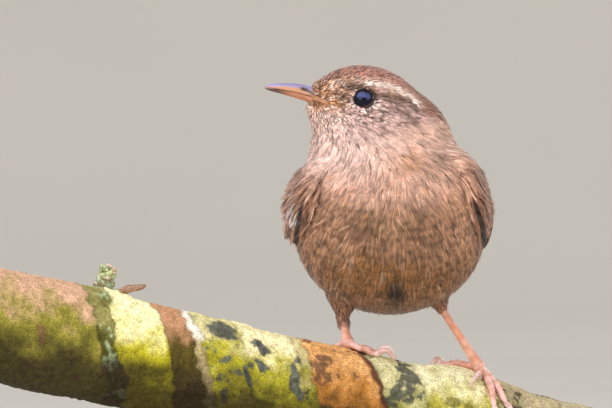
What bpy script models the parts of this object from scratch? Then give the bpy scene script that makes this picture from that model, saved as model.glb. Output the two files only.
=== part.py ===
"""A wren standing on a cut length of branch, held over a flat base by two short rods.

The plumage is one soft body: ellipsoid masses melted together, read out on rings round a
spine from belly to crown, and parted into torso, neck and head by thin plane cuts.
Sizes are in millimetres, and the meshes are made in metres.  +Z is up, the bird faces -Y
and turns its head to its own right, towards -X.  The origin is the middle of the base's
underside.
"""

import math
from functools import partial

import bmesh
import bpy
import numpy as np

MM = 0.001
GAP = 0.3                       # between two pieces that touch

# The stand and the cut branch, in the model's own frame.
BASE_RADII = (56.0, 37.0)
BASE_HEIGHT = 10.0
BASE_EDGE = 1.6
ROD_RADIUS = 1.9
ROD_PLACES = (-30.0, 32.0)      # along X

BRANCH_HALF = 72.0              # reach to each side of the base's middle, along X
BRANCH_RADIUS = 11.2
BRANCH_TAPER = 0.0175           # radius lost per millimetre towards +X
BRANCH_HEIGHT = 46.8            # of the axis over the base's middle
BRANCH_FALL = 0.222             # drop per millimetre towards +X
BRANCH_YAW = 0.2126             # step away from the viewer per millimetre towards +X
SWELLING = (32.0, 9.0, 1.8)     # place along X, spread and height of the rise under the left foot
KNOT = (-47.0, 5.0, 0.9)        # place, spread and height of the knot that carries the stubs
# Stubs on the knot: degrees round from the top, lean along the branch, length and radius.
STUBS = ((-6.0, 0.05, 4.6, 1.9), (4.0, 2.2, 9.5, 0.75))

# The bird, in its own frame: the origin is on the perch, between the feet.
STANDS_AT = np.array((19.0, 4.0, 57.0))
BLEND = 1.3                     # how softly the masses melt together

# Body masses: centre, radii, and the tilt about X and Y in degrees.
BODY_MASSES = {
    "belly": ((-0.5, 2.5, 25.2), (21.0, 21.0, 18.2), -12, 0),
    "breast": ((-0.6, -2.5, 34.5), (19.3, 15.0, 12.5), -15, 0),
    "rump": ((0.0, 12.0, 25.5), (14.5, 15.0, 11.0), -28, 0),
    "mantle": ((0.0, 3.5, 40.0), (14.0, 12.5, 8.0), -38, 0),
    "nape": ((0.6, -3.0, 45.2), (12.6, 9.5, 11.8), -20, 16),
    "throat": ((-8.8, -6.0, 43.5), (9.0, 8.0, 9.5), 0, 0),
}

# Head masses in the head's own frame (forward, left, up): centre and radii.
HEAD_AT = np.array((-6.0, -6.0, 53.3))
HEAD_YAW, HEAD_PITCH = math.radians(10.0), math.radians(8.0)
HEAD_MASSES = {
    "skull": ((0.0, 0.0, 0.4), (11.3, 7.6, 8.1)),
    "left_cheek": ((-3.0, 3.0, -3.0), (7.2, 5.0, 5.5)),
    "right_cheek": ((-3.0, -3.0, -3.0), (7.2, 5.0, 5.5)),
    "lores": ((8.0, 0.0, -0.4), (4.6, 3.4, 3.4)),
    "chin": ((7.0, 0.0, -4.0), (4.6, 3.4, 3.4)),
}

# The spine that the rings are read from, and the two cuts across it.
SPINE_FOOT = np.array((0.0, 2.5, 24.0))
SPINE_TOP = np.array((-5.5, -5.5, 51.5))
CHIN_CUT = (np.array((-4.0, -5.0, 48.8)), np.array((0.12, 0.0, 0.99)))
SHOULDER_CUT = (np.array((0.0, -2.0, 41.0)), np.array((0.0, -0.22, 0.97)))

EYE_RADIUS = 3.0
EYE_OPENING = 2.35              # radius of the ring of the lids
LID_THICKNESS = 0.42
LID_STEPS = 18
EYE_AT = np.array((1.5, 5.1, 0.75))
EYE_LOOKS = np.array((0.14, 1.0, 0.04))

# Stations of the bill: forward of the head's middle, culmen, mouth line, lower edge, half width.
BILL_STATIONS = (
    (8.0, 1.5, -1.3, -2.9, 2.7),
    (10.0, 1.9, -0.9, -2.3, 2.5),
    (12.4, 2.25, -0.25, -1.6, 2.0),
    (15.2, 2.35, 0.2, -1.05, 1.45),
    (18.4, 2.05, 0.36, -0.55, 1.0),
    (20.8, 1.55, 0.4, -0.25, 0.62),
    (22.1, 1.0, 0.4, 0.0, 0.3),
)
BILL_TIP = (22.7, 0.5)
NOSTRIL_AT = (13.6, 1.55, 1.15)
NOSTRIL_RADII = (0.95, 0.5, 0.3)

# A folded wing is mapped from (along, up) on a bulged shell beside the body: its side, the y
# and z of its bend, its droop, and how far the shell stands out and reaches up.
WINGS = {
    "left": {"side": 1.0, "bend": (-13.0, 36.6), "droop": math.radians(18.0), "shell": 21.5,
             "crest": 14.8},
    "right": {"side": -1.0, "bend": (-13.0, 35.0), "droop": math.radians(12.0), "shell": 22.9,
              "crest": 12.6},
}
SHELL_MIDDLE = (20.0, -2.0)
SHELL_AHEAD, SHELL_BEHIND = 38.0, 38.0
WING_TUCK = 5.0    # how far the tips are drawn in towards the tail
SHELL_BELOW = 17.0

TAIL_ROOT = np.array((0.0, 22.5, 22.5))
TAIL_COCK = math.radians(48.0)

# Legs: where the feathers end and the bare shank starts, in the bird's frame.
LEGS = {
    "right": {"hip": (-10.6, 3.5, 15.0), "cuff": (-10.9, 0.6, 5.9), "hip_radius": 5.4,
              "cuff_radius": 1.75},
    "left": {"hip": (8.8, 3.2, 14.0), "cuff": (11.0, 2.9, 8.1), "hip_radius": 4.0,
             "cuff_radius": 1.5},
}
SHANK_RADIUS = 0.85
TOE_RADIUS = 0.72
CLAW_RADIUS = 0.5
PALM_RADIUS = 1.25

# Feet: the palm's place on the perch (along X, degrees round from the top towards the viewer),
# then each toe's end and its claw's tip in the same way.
FEET = {
    "right": {
        "palm": (6.5, 1.0),
        "toes": {
            "inner": ((12.4, 17.0), (16.6, 25.0)),
            "middle": ((13.2, 0.0), (17.6, 2.0)),
            "outer": ((12.0, -20.0), (15.8, -30.0)),
            "hind": ((4.6, -42.0), (4.0, -68.0)),
        },
    },
    "left": {
        "palm": (35.2, 6.0),
        "toes": {
            "inner": ((34.6, 27.0), (32.2, 45.0)),
            "middle": ((38.2, 62.0), (39.2, 90.0)),
            "outer": ((40.8, 54.0), (42.4, 82.0)),
            "hind": ((28.4, -16.0), (25.6, -26.0)),
        },
    },
}


def rotation(tilt_x, tilt_y):
    """Turn about X, then about Y, in degrees."""
    a, b = math.radians(tilt_x), math.radians(tilt_y)
    about_x = np.array(((1, 0, 0), (0, math.cos(a), -math.sin(a)), (0, math.sin(a), math.cos(a))))
    about_y = np.array(((math.cos(b), 0, math.sin(b)), (0, 1, 0), (-math.sin(b), 0, math.cos(b))))
    return about_y @ about_x


def head_axes():
    """Columns: forward along the bill, to the bird's left, and up."""
    forward = np.array((
        -math.cos(HEAD_YAW) * math.cos(HEAD_PITCH),
        -math.sin(HEAD_YAW) * math.cos(HEAD_PITCH),
        math.sin(HEAD_PITCH),
    ))
    left = np.array((math.sin(HEAD_YAW), -math.cos(HEAD_YAW), 0.0))
    return np.array((forward, left, np.cross(forward, left))).T


HEAD_AXES = head_axes()


def from_head(points):
    return HEAD_AT + np.asarray(points, float) @ HEAD_AXES.T


def all_masses():
    masses = [
        (np.array(centre), np.array(radii), rotation(tilt_x, tilt_y))
        for centre, radii, tilt_x, tilt_y in BODY_MASSES.values()
    ]
    masses += [
        (from_head(centre), np.array(radii), HEAD_AXES) for centre, radii in HEAD_MASSES.values()
    ]
    return masses


MASSES = all_masses()


def plumage(points):
    """About the distance outside the plumage, in millimetres, and below zero within it."""
    total = 0.0
    for centre, radii, axes in MASSES:
        local = (points - centre) @ axes
        near = np.linalg.norm(local / radii, axis=-1) + 1e-9
        slope = np.linalg.norm(local / radii**2, axis=-1) + 1e-9
        total = total + np.exp(-near * (near - 1.0) / slope / BLEND)
    return -BLEND * np.log(total)


def reach(origins, directions, level):
    """Points where rays from inside the plumage leave it, at this distance outside it."""
    low, high = np.zeros(len(origins)), np.full(len(origins), 45.0)
    for _ in range(26):
        middle = (low + high) / 2
        outside = plumage(origins + directions * middle[:, None]) > level
        high = np.where(outside, middle, high)
        low = np.where(outside, low, middle)
    return origins + directions * high[:, None]


def plumage_rings(level, sectors, under, along, over):
    """Rings round the spine, from a pole under the belly to a pole over the crown."""
    spine = SPINE_TOP - SPINE_FOOT
    spine = spine / np.linalg.norm(spine)
    across = np.cross((0.0, 1.0, 0.0), spine)
    across = across / np.linalg.norm(across)
    away = np.cross(spine, across)
    turns = np.linspace(0, 2 * math.pi, sectors, endpoint=False)
    flat = np.outer(np.cos(turns), across) + np.outer(np.sin(turns), away)
    stations = [(SPINE_FOOT, -90 + 90 * i / under) for i in range(under)]
    stations += [(SPINE_FOOT + (SPINE_TOP - SPINE_FOOT) * i / along, 0) for i in range(along)]
    stations += [(SPINE_TOP, 90 * i / over) for i in range(over + 1)]
    rings = []
    for origin, lift in stations:
        lift = math.radians(lift)
        directions = flat * math.cos(lift) + spine * math.sin(lift)
        if abs(math.cos(lift)) < 1e-6:
            directions = directions[:1]
        rings.append(reach(np.tile(origin, (len(directions), 1)), directions, level))
    return rings


def clear_scene():
    for obj in list(bpy.data.objects):
        bpy.data.objects.remove(obj)


def material(name, colour, roughness, metallic=0.0):
    made = bpy.data.materials.new(name)
    made.use_nodes = True
    shader = made.node_tree.nodes["Principled BSDF"]
    shader.inputs["Base Color"].default_value = (*colour, 1.0)
    shader.inputs["Roughness"].default_value = roughness
    shader.inputs["Metallic"].default_value = metallic
    return made


def add_mesh(name, points, faces, in_bird=True):
    """A mesh object from millimetre points, in the bird's frame or the model's."""
    points = np.asarray(points, float) + (STANDS_AT if in_bird else 0.0)
    mesh = bpy.data.meshes.new(name)
    mesh.from_pydata((points * MM).tolist(), [], faces)
    work = bmesh.new()
    work.from_mesh(mesh)
    bmesh.ops.recalc_face_normals(work, faces=work.faces)
    work.to_mesh(mesh)
    work.free()
    obj = bpy.data.objects.new(name, mesh)
    bpy.context.scene.collection.objects.link(obj)
    return obj


def loft(name, rings, in_bird=True):
    """A closed skin over rings of points.  An end ring of one point is a pole."""
    points, starts, faces = [], [], []
    for ring in rings:
        starts.append(len(points))
        points.extend(np.asarray(ring, float).tolist())
    for k in range(len(rings) - 1):
        here, there = len(rings[k]), len(rings[k + 1])
        a, b = starts[k], starts[k + 1]
        for j in range(max(here, there)):
            n = (j + 1) % max(here, there)
            if here > 1:
                faces.append((a + j, a + n, b + (n if there > 1 else 0)))
            if there > 1:
                faces.append((a + (j if here > 1 else 0), b + n, b + j))
    for k in (0, len(rings) - 1):
        if len(rings[k]) > 1:
            faces.append(tuple(starts[k] + j for j in range(len(rings[k]))))
    return add_mesh(name, points, faces, in_bird)


def keep_largest(obj):
    """Leaves the largest closed surface of a mesh."""
    work = bmesh.new()
    work.from_mesh(obj.data)
    bmesh.ops.remove_doubles(work, verts=work.verts, dist=1e-6)
    left, islands = set(work.verts), []
    while left:
        stack, island = [left.pop()], []
        while stack:
            vert = stack.pop()
            island.append(vert)
            for edge in vert.link_edges:
                other = edge.other_vert(vert)
                if other in left:
                    left.remove(other)
                    stack.append(other)
        islands.append(island)
    islands.sort(key=lambda island: -sum(face.calc_area() for v in island for face in v.link_faces))
    for island in islands[1:]:
        bmesh.ops.delete(work, geom=island, context="VERTS")
    bmesh.ops.recalc_face_normals(work, faces=work.faces)
    work.to_mesh(obj.data)
    work.free()


def freeze(obj):
    """Replaces a mesh by what its modifiers make of it."""
    bpy.context.view_layer.update()
    graph = bpy.context.evaluated_depsgraph_get()
    mesh = bpy.data.meshes.new_from_object(obj.evaluated_get(graph))
    obj.modifiers.clear()
    obj.data = mesh
    keep_largest(obj)


def combine(obj, others, operation, solver="EXACT"):
    """Joins or cuts obj with the other meshes, which are removed."""
    group = bpy.data.collections.new("operands")
    bpy.context.scene.collection.children.link(group)
    for other in others:
        bpy.context.scene.collection.objects.unlink(other)
        group.objects.link(other)
    modifier = obj.modifiers.new(operation.title(), "BOOLEAN")
    modifier.operation = operation
    modifier.operand_type = "COLLECTION"
    modifier.collection = group
    modifier.solver = solver
    freeze(obj)
    for other in others:
        bpy.data.objects.remove(other)
    bpy.data.collections.remove(group)
    return obj


def slice_off(obj, cut, keep_above):
    """Cuts a closed mesh at a plane half a gap to one side, and closes it with a flat face."""
    point, normal = cut
    normal = normal / np.linalg.norm(normal)
    if not keep_above:
        normal = -normal
    place = (point + STANDS_AT + normal * GAP / 2) * MM
    work = bmesh.new()
    work.from_mesh(obj.data)
    bmesh.ops.bisect_plane(
        work, geom=work.verts[:] + work.edges[:] + work.faces[:], dist=1e-7,
        plane_co=place, plane_no=-normal, clear_outer=True,
    )
    rim = [edge for edge in work.edges if edge.is_boundary]
    bmesh.ops.triangle_fill(work, use_beauty=True, edges=rim)
    bmesh.ops.recalc_face_normals(work, faces=work.faces)
    work.to_mesh(obj.data)
    work.free()
    return obj


def finish(obj, name, look, collection):
    obj.name = name
    obj.data.name = name
    obj.data.materials.clear()
    obj.data.materials.append(look)
    obj.data.shade_smooth()
    obj.data.set_sharp_from_angle(angle=math.radians(38))
    for holder in list(obj.users_collection):
        holder.objects.unlink(obj)
    collection.objects.link(obj)
    return obj


def swollen_body(level=GAP, sectors=48, rings=12):
    """The whole plumage a gap larger, for cutting what lies on it."""
    return loft("swollen_body", plumage_rings(level, sectors, rings, rings, rings))


def tube(name, path, radii, sides, in_bird=True):
    """A closed tube along points, with its own radius at each of them."""
    path = np.asarray(path, float)
    tangents = np.gradient(path, axis=0)
    tangents = tangents / np.linalg.norm(tangents, axis=1)[:, None]
    side = np.cross(tangents[0], (0.31, 0.17, 0.93))
    rings = []
    for point, tangent, radius in zip(path, tangents, radii):
        side = side - tangent * (side @ tangent)
        side = side / np.linalg.norm(side)
        other = np.cross(tangent, side)
        turns = np.linspace(0, 2 * math.pi, sides, endpoint=False)
        rings.append(point + radius * (np.outer(np.cos(turns), side) + np.outer(np.sin(turns), other)))
    return loft(name, rings, in_bird)


def ball(name, centre, radii, axes=np.eye(3), segments=24, rings=12, in_bird=True):
    """An ellipsoid whose poles lie along its last axis."""
    shape = []
    for k in range(rings + 1):
        polar = math.pi * k / rings
        turns = np.linspace(0, 2 * math.pi, segments, endpoint=False)
        if k in (0, rings):
            turns = turns[:1]
        unit = np.stack((
            math.sin(polar) * np.cos(turns),
            math.sin(polar) * np.sin(turns),
            np.full(len(turns), math.cos(polar)),
        ), axis=1)
        shape.append(np.asarray(centre) + (unit * radii) @ np.asarray(axes).T)
    return loft(name, shape, in_bird)


def branch_axis(along):
    return np.array((
        along,
        STANDS_AT[1] + (along - STANDS_AT[0]) * BRANCH_YAW,
        BRANCH_HEIGHT - BRANCH_FALL * along,
    ))


def branch_frame():
    """Directions along the branch, up from it, and from it towards the viewer."""
    along = branch_axis(1.0) - branch_axis(0.0)
    along = along / np.linalg.norm(along)
    up = np.array((0.0, 0.0, 1.0)) - along * along[2]
    up = up / np.linalg.norm(up)
    return along, up, np.cross(along, up)


BRANCH_ALONG, BRANCH_UP, BRANCH_FRONT = branch_frame()


def branch_radius(along, turn):
    """Bark radius at a place, with its swelling, its knot and a few low lumps."""
    radius = BRANCH_RADIUS - BRANCH_TAPER * along
    for place, spread, height in (SWELLING, KNOT):
        facing = max(0.0, math.cos(turn)) ** 2
        radius += height * math.exp(-(((along - place) / spread) ** 2)) * facing
    lumps = math.sin(0.21 * along + 2.0 * turn) + math.sin(0.13 * along - 3.0 * turn + 1.1)
    lumps += 0.6 * math.sin(0.41 * along + 5.0 * turn + 2.3)
    quiet = 1.0 - 0.75 * max(0.0, math.cos(turn))
    return radius + 0.22 * lumps * quiet


def on_branch(along, degrees, lift=0.0):
    """A point on the bark: along X, degrees round from the top towards the viewer, and lift."""
    turn = math.radians(degrees)
    outward = BRANCH_UP * math.cos(turn) + BRANCH_FRONT * math.sin(turn)
    return branch_axis(along) + outward * (branch_radius(along, turn) + lift)


def branch_loft(name, lift=0.0, steps=28, sides=20):
    rings = []
    for k in range(steps + 1):
        along = -BRANCH_HALF + 2 * BRANCH_HALF * k / steps
        rings.append([on_branch(along, 360 * j / sides, lift) for j in range(sides)])
    return loft(name, rings, in_bird=False)


def build_stand(collection):
    wood = material("base_wood", (0.16, 0.09, 0.05), 0.4)
    steel = material("rod_steel", (0.55, 0.55, 0.54), 0.3, 1.0)
    bpy.ops.mesh.primitive_cylinder_add(vertices=56, radius=1.0, depth=BASE_HEIGHT * MM)
    base = bpy.context.object
    base.scale = (BASE_RADII[0] * MM, BASE_RADII[1] * MM, 1.0)
    base.location = (0.0, 0.0, BASE_HEIGHT * MM / 2)
    bpy.ops.object.transform_apply(location=True, rotation=False, scale=True)
    bevel = base.modifiers.new("Edge", "BEVEL")
    bevel.width = BASE_EDGE * MM
    bevel.segments = 2
    bevel.limit_method = "ANGLE"
    finish(base, "stand_base", wood, collection)
    for side, place in zip(("left", "right"), ROD_PLACES):
        axis = branch_axis(place)
        foot = np.array((place, axis[1], BASE_HEIGHT + GAP))
        rod = tube("rod", (foot, axis), (ROD_RADIUS, ROD_RADIUS), 20, in_bird=False)
        combine(rod, [branch_loft("swollen_branch", GAP)], "DIFFERENCE")
        finish(rod, "stand_rod_" + side, steel, collection)


def build_perch(collection):
    bark = material("bark", (0.33, 0.30, 0.10), 0.9)
    perch = branch_loft("perch")
    stubs = []
    for degrees, slant, length, radius in STUBS:
        root = on_branch(KNOT[0], degrees, -1.6)
        lean = BRANCH_UP + BRANCH_ALONG * slant
        lean = lean / np.linalg.norm(lean)
        path = [root + lean * length * t for t in (0.0, 0.45, 0.8, 1.0)]
        radii = [radius * size for size in (1.4, 1.1, 0.95, 0.7)]
        stubs.append(tube("stub", path, radii, 8, in_bird=False))
    combine(perch, stubs, "UNION")
    finish(perch, "perch", bark, collection)


def eye_axes(side):
    looks = EYE_LOOKS * (1.0, side, 1.0)
    looks = HEAD_AXES @ (looks / np.linalg.norm(looks))
    across = np.cross(looks, HEAD_AXES[:, 2])
    across = across / np.linalg.norm(across)
    return np.array((across, np.cross(looks, across), looks)).T


def lid_ring(side):
    """A ring round the eye's opening, seated on the eyeball."""
    axes = eye_axes(side)
    centre = from_head(EYE_AT * (1.0, side, 1.0))
    depth = math.sqrt(EYE_RADIUS**2 - EYE_OPENING**2)
    rings = []
    for k in range(LID_STEPS):
        turn = 2 * math.pi * k / LID_STEPS
        outward = axes[:, 0] * math.cos(turn) + axes[:, 1] * math.sin(turn)
        middle = centre + axes[:, 2] * (depth + 0.22) + outward * (EYE_OPENING + 0.5 * LID_THICKNESS)
        turns = [2 * math.pi * j / 6 for j in range(6)]
        rings.append([
            middle + LID_THICKNESS * (outward * math.cos(t) + axes[:, 2] * math.sin(t)) for t in turns
        ])
    points = np.array(rings).reshape(-1, 3)
    faces = []
    for k in range(LID_STEPS):
        for j in range(6):
            a, b = k * 6 + j, k * 6 + (j + 1) % 6
            c, d = (k + 1) % LID_STEPS * 6 + (j + 1) % 6, (k + 1) % LID_STEPS * 6 + j
            faces.append((a, b, c, d))
    return add_mesh("lids", points, faces)


def build_body(collection):
    brown = material("plumage_brown", (0.32, 0.19, 0.11), 0.9)
    buff = material("plumage_buff", (0.55, 0.38, 0.26), 0.9)
    torso = slice_off(loft("torso", plumage_rings(0.0, 44, 14, 12, 5)), SHOULDER_CUT, False)
    finish(torso, "torso", brown, collection)
    neck = slice_off(loft("neck", plumage_rings(0.0, 44, 6, 16, 8)), SHOULDER_CUT, True)
    finish(slice_off(neck, CHIN_CUT, False), "neck", buff, collection)
    head = slice_off(loft("head", plumage_rings(0.0, 46, 4, 10, 13)), CHIN_CUT, True)
    combine(head, [lid_ring(1.0), lid_ring(-1.0)], "UNION")
    sockets = [
        ball("socket", from_head(EYE_AT * (1.0, side, 1.0)), EYE_RADIUS + GAP, eye_axes(side), 24, 12)
        for side in (1.0, -1.0)
    ]
    combine(head, sockets, "DIFFERENCE")
    finish(head, "head", brown, collection)


def build_eyes(collection):
    dark = material("eye", (0.01, 0.008, 0.008), 0.06)
    for name, side in (("left", 1.0), ("right", -1.0)):
        eye = ball("eye", from_head(EYE_AT * (1.0, side, 1.0)), EYE_RADIUS, eye_axes(side), 20, 10)
        finish(eye, "eye_" + name, dark, collection)


def bill_half(name, upper, points_across=7):
    """One half of the bill: a flat tomial face at the mouth line and a rounded back."""
    rings = []
    for forward, culmen, mouth, lower, half_width in BILL_STATIONS:
        level = mouth + (GAP / 2 if upper else -GAP / 2)
        depth = (culmen if upper else lower) - level
        turns = np.linspace(0, math.pi, points_across)
        ring = [(forward, half_width * math.cos(t), level + depth * math.sin(t) ** 0.85) for t in turns]
        rings.append(from_head(ring))
    tip_level = BILL_TIP[1] + (GAP / 2 + 0.12 if upper else -GAP / 2 - 0.12)
    reach_out = BILL_TIP[0] - (0.0 if upper else 0.35)
    rings.append(from_head([(reach_out, 0.0, tip_level)]))
    return loft(name, rings)


def build_bill(collection):
    horn = material("bill_horn", (0.20, 0.13, 0.10), 0.3)
    pale = material("bill_pale", (0.62, 0.36, 0.18), 0.35)
    upper = bill_half("bill_upper", True)
    nostrils = [
        ball("nostril", from_head(np.array(NOSTRIL_AT) * (1.0, side, 1.0)), NOSTRIL_RADII,
             HEAD_AXES, 10, 6)
        for side in (1.0, -1.0)
    ]
    combine(upper, nostrils, "DIFFERENCE")
    combine(upper, [swollen_body()], "DIFFERENCE")
    finish(upper, "bill_upper", horn, collection)
    lower = bill_half("bill_lower", False)
    combine(lower, [swollen_body()], "DIFFERENCE")
    finish(lower, "bill_lower", pale, collection)


def on_wing(wing, along, up, lift):
    """A point of the folded wing: back from its bend, up across it, and out from its shell."""
    droop, shell = wing["droop"], wing["shell"]
    y = wing["bend"][0] + along * math.cos(droop) + up * math.sin(droop)
    z = wing["bend"][1] - along * math.sin(droop) + up * math.cos(droop)
    length = SHELL_BEHIND if along > SHELL_MIDDLE[0] else SHELL_AHEAD
    height = wing["crest"] if up > SHELL_MIDDLE[1] else SHELL_BELOW
    a = (along - SHELL_MIDDLE[0]) / length
    b = (up - SHELL_MIDDLE[1]) / height
    x = shell * math.sqrt(max(0.05, 1.0 - a * a - b * b))
    slope = shell**2 / max(x, 8.0)
    tuck = max(0.0, (along - SHELL_MIDDLE[0]) / 28.0)
    lean_a = slope * a / length + 2 * WING_TUCK * tuck / 28.0
    lean_b = slope * b / height
    x -= WING_TUCK * tuck * tuck
    normal = np.array((
        1.0,
        lean_a * math.cos(droop) + lean_b * math.sin(droop),
        -lean_a * math.sin(droop) + lean_b * math.cos(droop),
    ))
    point = np.array((x, y, z)) + lift * normal / np.linalg.norm(normal)
    return point * (wing["side"], 1.0, 1.0)


# Outline of the wing's own flesh: along, lower edge, upper edge, and how deep it is inside.
WING_OUTLINE = (
    (-0.6, 0.2, 1.8, 1.6),
    (0.6, -2.0, 3.8, 3.2),
    (4.0, -4.7, 5.8, 4.2),
    (9.0, -6.2, 7.4, 4.0),
    (16.0, -6.0, 7.2, 3.0),
    (22.0, -4.6, 5.4, 2.0),
    (26.0, -3.2, 3.4, 1.2),
)

# Tiers of wing feathers, lowest first.  Each runs evenly from its first vane to its last:
# root (along, up), tip (along, up), half width, and height over the shell at root and tip.
WING_TIERS = {
    "primaries": (6, ((9.0, -5.2), (35.5, -8.6), 1.5, -0.35, -0.55),
                  ((15.0, 0.4), (48.5, -3.0), 1.7, 0.05, 0.15)),
    "secondaries": (4, ((12.0, -3.6), (33.0, -4.4), 1.8, 0.35, 0.45),
                    ((12.0, 2.6), (36.5, 0.6), 1.9, 0.5, 0.6)),
    "tertials": (3, ((12.0, 3.6), (34.0, 2.4), 2.0, 0.7, 0.8),
                 ((9.0, 7.0), (26.0, 6.4), 2.1, 0.9, 0.9)),
    "alula": (2, ((2.5, -3.4), (15.5, -8.2), 1.2, 0.5, 0.2),
              ((4.0, -2.4), (19.0, -5.4), 1.4, 0.7, 0.5)),
    "greater_coverts": (6, ((7.0, -4.4), (19.0, -4.4), 1.45, 0.75, 0.95),
                        ((6.0, 7.2), (17.5, 6.8), 1.6, 1.0, 1.15)),
    "median_coverts": (5, ((1.5, -2.6), (11.5, -4.2), 1.35, 0.9, 1.4),
                       ((1.5, 5.0), (10.5, 6.8), 1.5, 1.0, 1.5)),
}
VANE_THICKNESS = 0.55
VANE_LEAN = 0.34                # rise of a vane from its upper edge to its lower one, per width
VANE_PROFILE = ((0.0, 0.75), (0.45, 1.0), (0.84, 0.86), (1.0, 0.34))


def vane(name, surface, root, tip, half_width, heights, lean):
    """A flat feather on a surface, its two faces split alike into triangles."""
    root, tip = np.array(root, float), np.array(tip, float)
    run = (tip - root) / np.linalg.norm(tip - root)
    sideways = np.array((-run[1], run[0]))
    upper, lower = [], []
    for t, share in VANE_PROFILE:
        middle = root + (tip - root) * t
        height = heights[0] + (heights[1] - heights[0]) * t
        for across in (-half_width, half_width):
            place = middle + sideways * share * across
            upper.append(surface(place[0], place[1], height - lean * across))
            lower.append(surface(place[0], place[1], height - lean * across - VANE_THICKNESS))
    rows, count = len(VANE_PROFILE), len(upper)
    faces = []
    for k in range(rows - 1):
        a, b, c, d = 2 * k, 2 * k + 1, 2 * k + 3, 2 * k + 2
        faces += [(a, b, c), (a, c, d)]
        faces += [(count + c, count + b, count + a), (count + d, count + c, count + a)]
        faces += [(a, d, count + d), (a, count + d, count + a)]
        faces += [(c, b, count + b), (c, count + b, count + c)]
    last = 2 * (rows - 1)
    faces += [(1, 0, count), (1, count, count + 1)]
    faces += [(last, last + 1, count + last + 1), (last, count + last + 1, count + last)]
    return add_mesh(name, upper + lower, faces)


def tier(name, surface, count, first, last):
    """Vanes that step evenly from the first to the last, each over the edge of the one before."""
    vanes = []
    for k in range(count):
        t = k / (count - 1)
        root, tip, half_width, at_root, at_tip = (
            np.array(a) * (1 - t) + np.array(b) * t for a, b in zip(first, last)
        )
        vanes.append(vane(name, surface, root, tip, half_width, (at_root, at_tip), VANE_LEAN))
    return vanes


def wing_core(wing):
    rings = []
    for along, low, high, depth in WING_OUTLINE:
        rings.append(
            [on_wing(wing, along, low + (high - low) * k / 4, 0.1) for k in range(5)]
            + [on_wing(wing, along, low + (high - low) * k / 4, -depth) for k in range(4, -1, -1)]
        )
    return loft("wing", rings)


def build_wings(collection):
    brown = material("wing_brown", (0.26, 0.14, 0.08), 0.85)
    for name, wing in WINGS.items():
        core = wing_core(wing)
        vanes = []
        for tier_name, (count, first, last) in WING_TIERS.items():
            vanes += tier(tier_name, partial(on_wing, wing), count, first, last)
        combine(core, vanes, "UNION", "MANIFOLD")
        combine(core, [swollen_body(GAP + 0.15, 30, 7)], "DIFFERENCE")
        finish(core, "wing_" + name, brown, collection)


TAIL_FEATHERS = 6               # on each side
TAIL_LENGTHS = (32.0, 26.0)     # middle and outer
TAIL_ROOTS = (0.35, 0.45)       # across the root: the first feather and the step to the next
TAIL_TIPS = (0.9, 0.91)         # the same at the tips
TAIL_HALF_WIDTH = 1.75
TAIL_LAYER = 0.34               # each feather lies this much under its inner neighbour


def on_tail(along, across, lift):
    """A point of the cocked tail, along it, across it, and out from its upper face."""
    run = np.array((0.0, math.cos(TAIL_COCK), math.sin(TAIL_COCK)))
    face = np.array((0.0, -math.sin(TAIL_COCK), math.cos(TAIL_COCK)))
    lift = lift - 0.008 * across * across
    return TAIL_ROOT + run * along + np.array((across, 0.0, 0.0)) + face * lift


def build_tail(collection):
    brown = material("tail_brown", (0.25, 0.12, 0.07), 0.85)
    stump = ball("tail", on_tail(1.5, 0.0, -0.6), (4.6, 5.5, 2.2), segments=14, rings=8)
    vanes = []
    for side in (1.0, -1.0):
        for k in range(TAIL_FEATHERS):
            t = k / (TAIL_FEATHERS - 1)
            length = TAIL_LENGTHS[0] * (1 - t * t) + TAIL_LENGTHS[1] * t * t
            start = side * (TAIL_ROOTS[0] + TAIL_ROOTS[1] * k)
            end = side * (TAIL_TIPS[0] + TAIL_TIPS[1] * k)
            height = -TAIL_LAYER * k - (0.2 if side < 0 else 0.0)
            vanes.append(vane("rectrix", on_tail, (-1.0, start), (length, end), TAIL_HALF_WIDTH,
                              (height * 0.7, height), 0.0))
    tail = combine(stump, vanes, "UNION", "MANIFOLD")
    combine(tail, [swollen_body()], "DIFFERENCE")
    finish(tail, "tail", brown, collection)


def foot_path(start, end, lifts):
    """Points on the perch between two places, at the given heights over the bark."""
    count = len(lifts)
    return [
        on_branch(
            start[0] + (end[0] - start[0]) * k / (count - 1),
            start[1] + (end[1] - start[1]) * k / (count - 1),
            lifts[k],
        )
        for k in range(count)
    ]


def build_foot(name, foot, skin, collection):
    palm_at = on_branch(*foot["palm"], GAP + PALM_RADIUS)
    palm = ball("palm", palm_at, (PALM_RADIUS,) * 3, segments=10, rings=6, in_bird=False)
    pieces = []
    for end, claw_tip in foot["toes"].values():
        rest = GAP + TOE_RADIUS
        lifts = (rest + 0.5, rest + 0.35, rest + 0.1, rest + 0.25, rest, rest)
        sizes = (1.2, 1.0, 0.92, 1.04, 0.9, 0.62)
        path = foot_path(foot["palm"], end, lifts)
        pieces.append(tube("toe", path, [TOE_RADIUS * s for s in sizes], 7, in_bird=False))
        claw_lifts = (rest, rest + 1.3, rest + 1.6, rest + 0.8, GAP + 0.12)
        claw_sizes = (1.1, 1.0, 0.8, 0.55, 0.2)
        path = foot_path(end, claw_tip, claw_lifts)
        pieces.append(tube("claw", path, [CLAW_RADIUS * s for s in claw_sizes], 5, in_bird=False))
    combine(palm, pieces, "UNION")
    finish(palm, "foot_" + name, skin, collection)
    return palm_at - STANDS_AT


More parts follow.
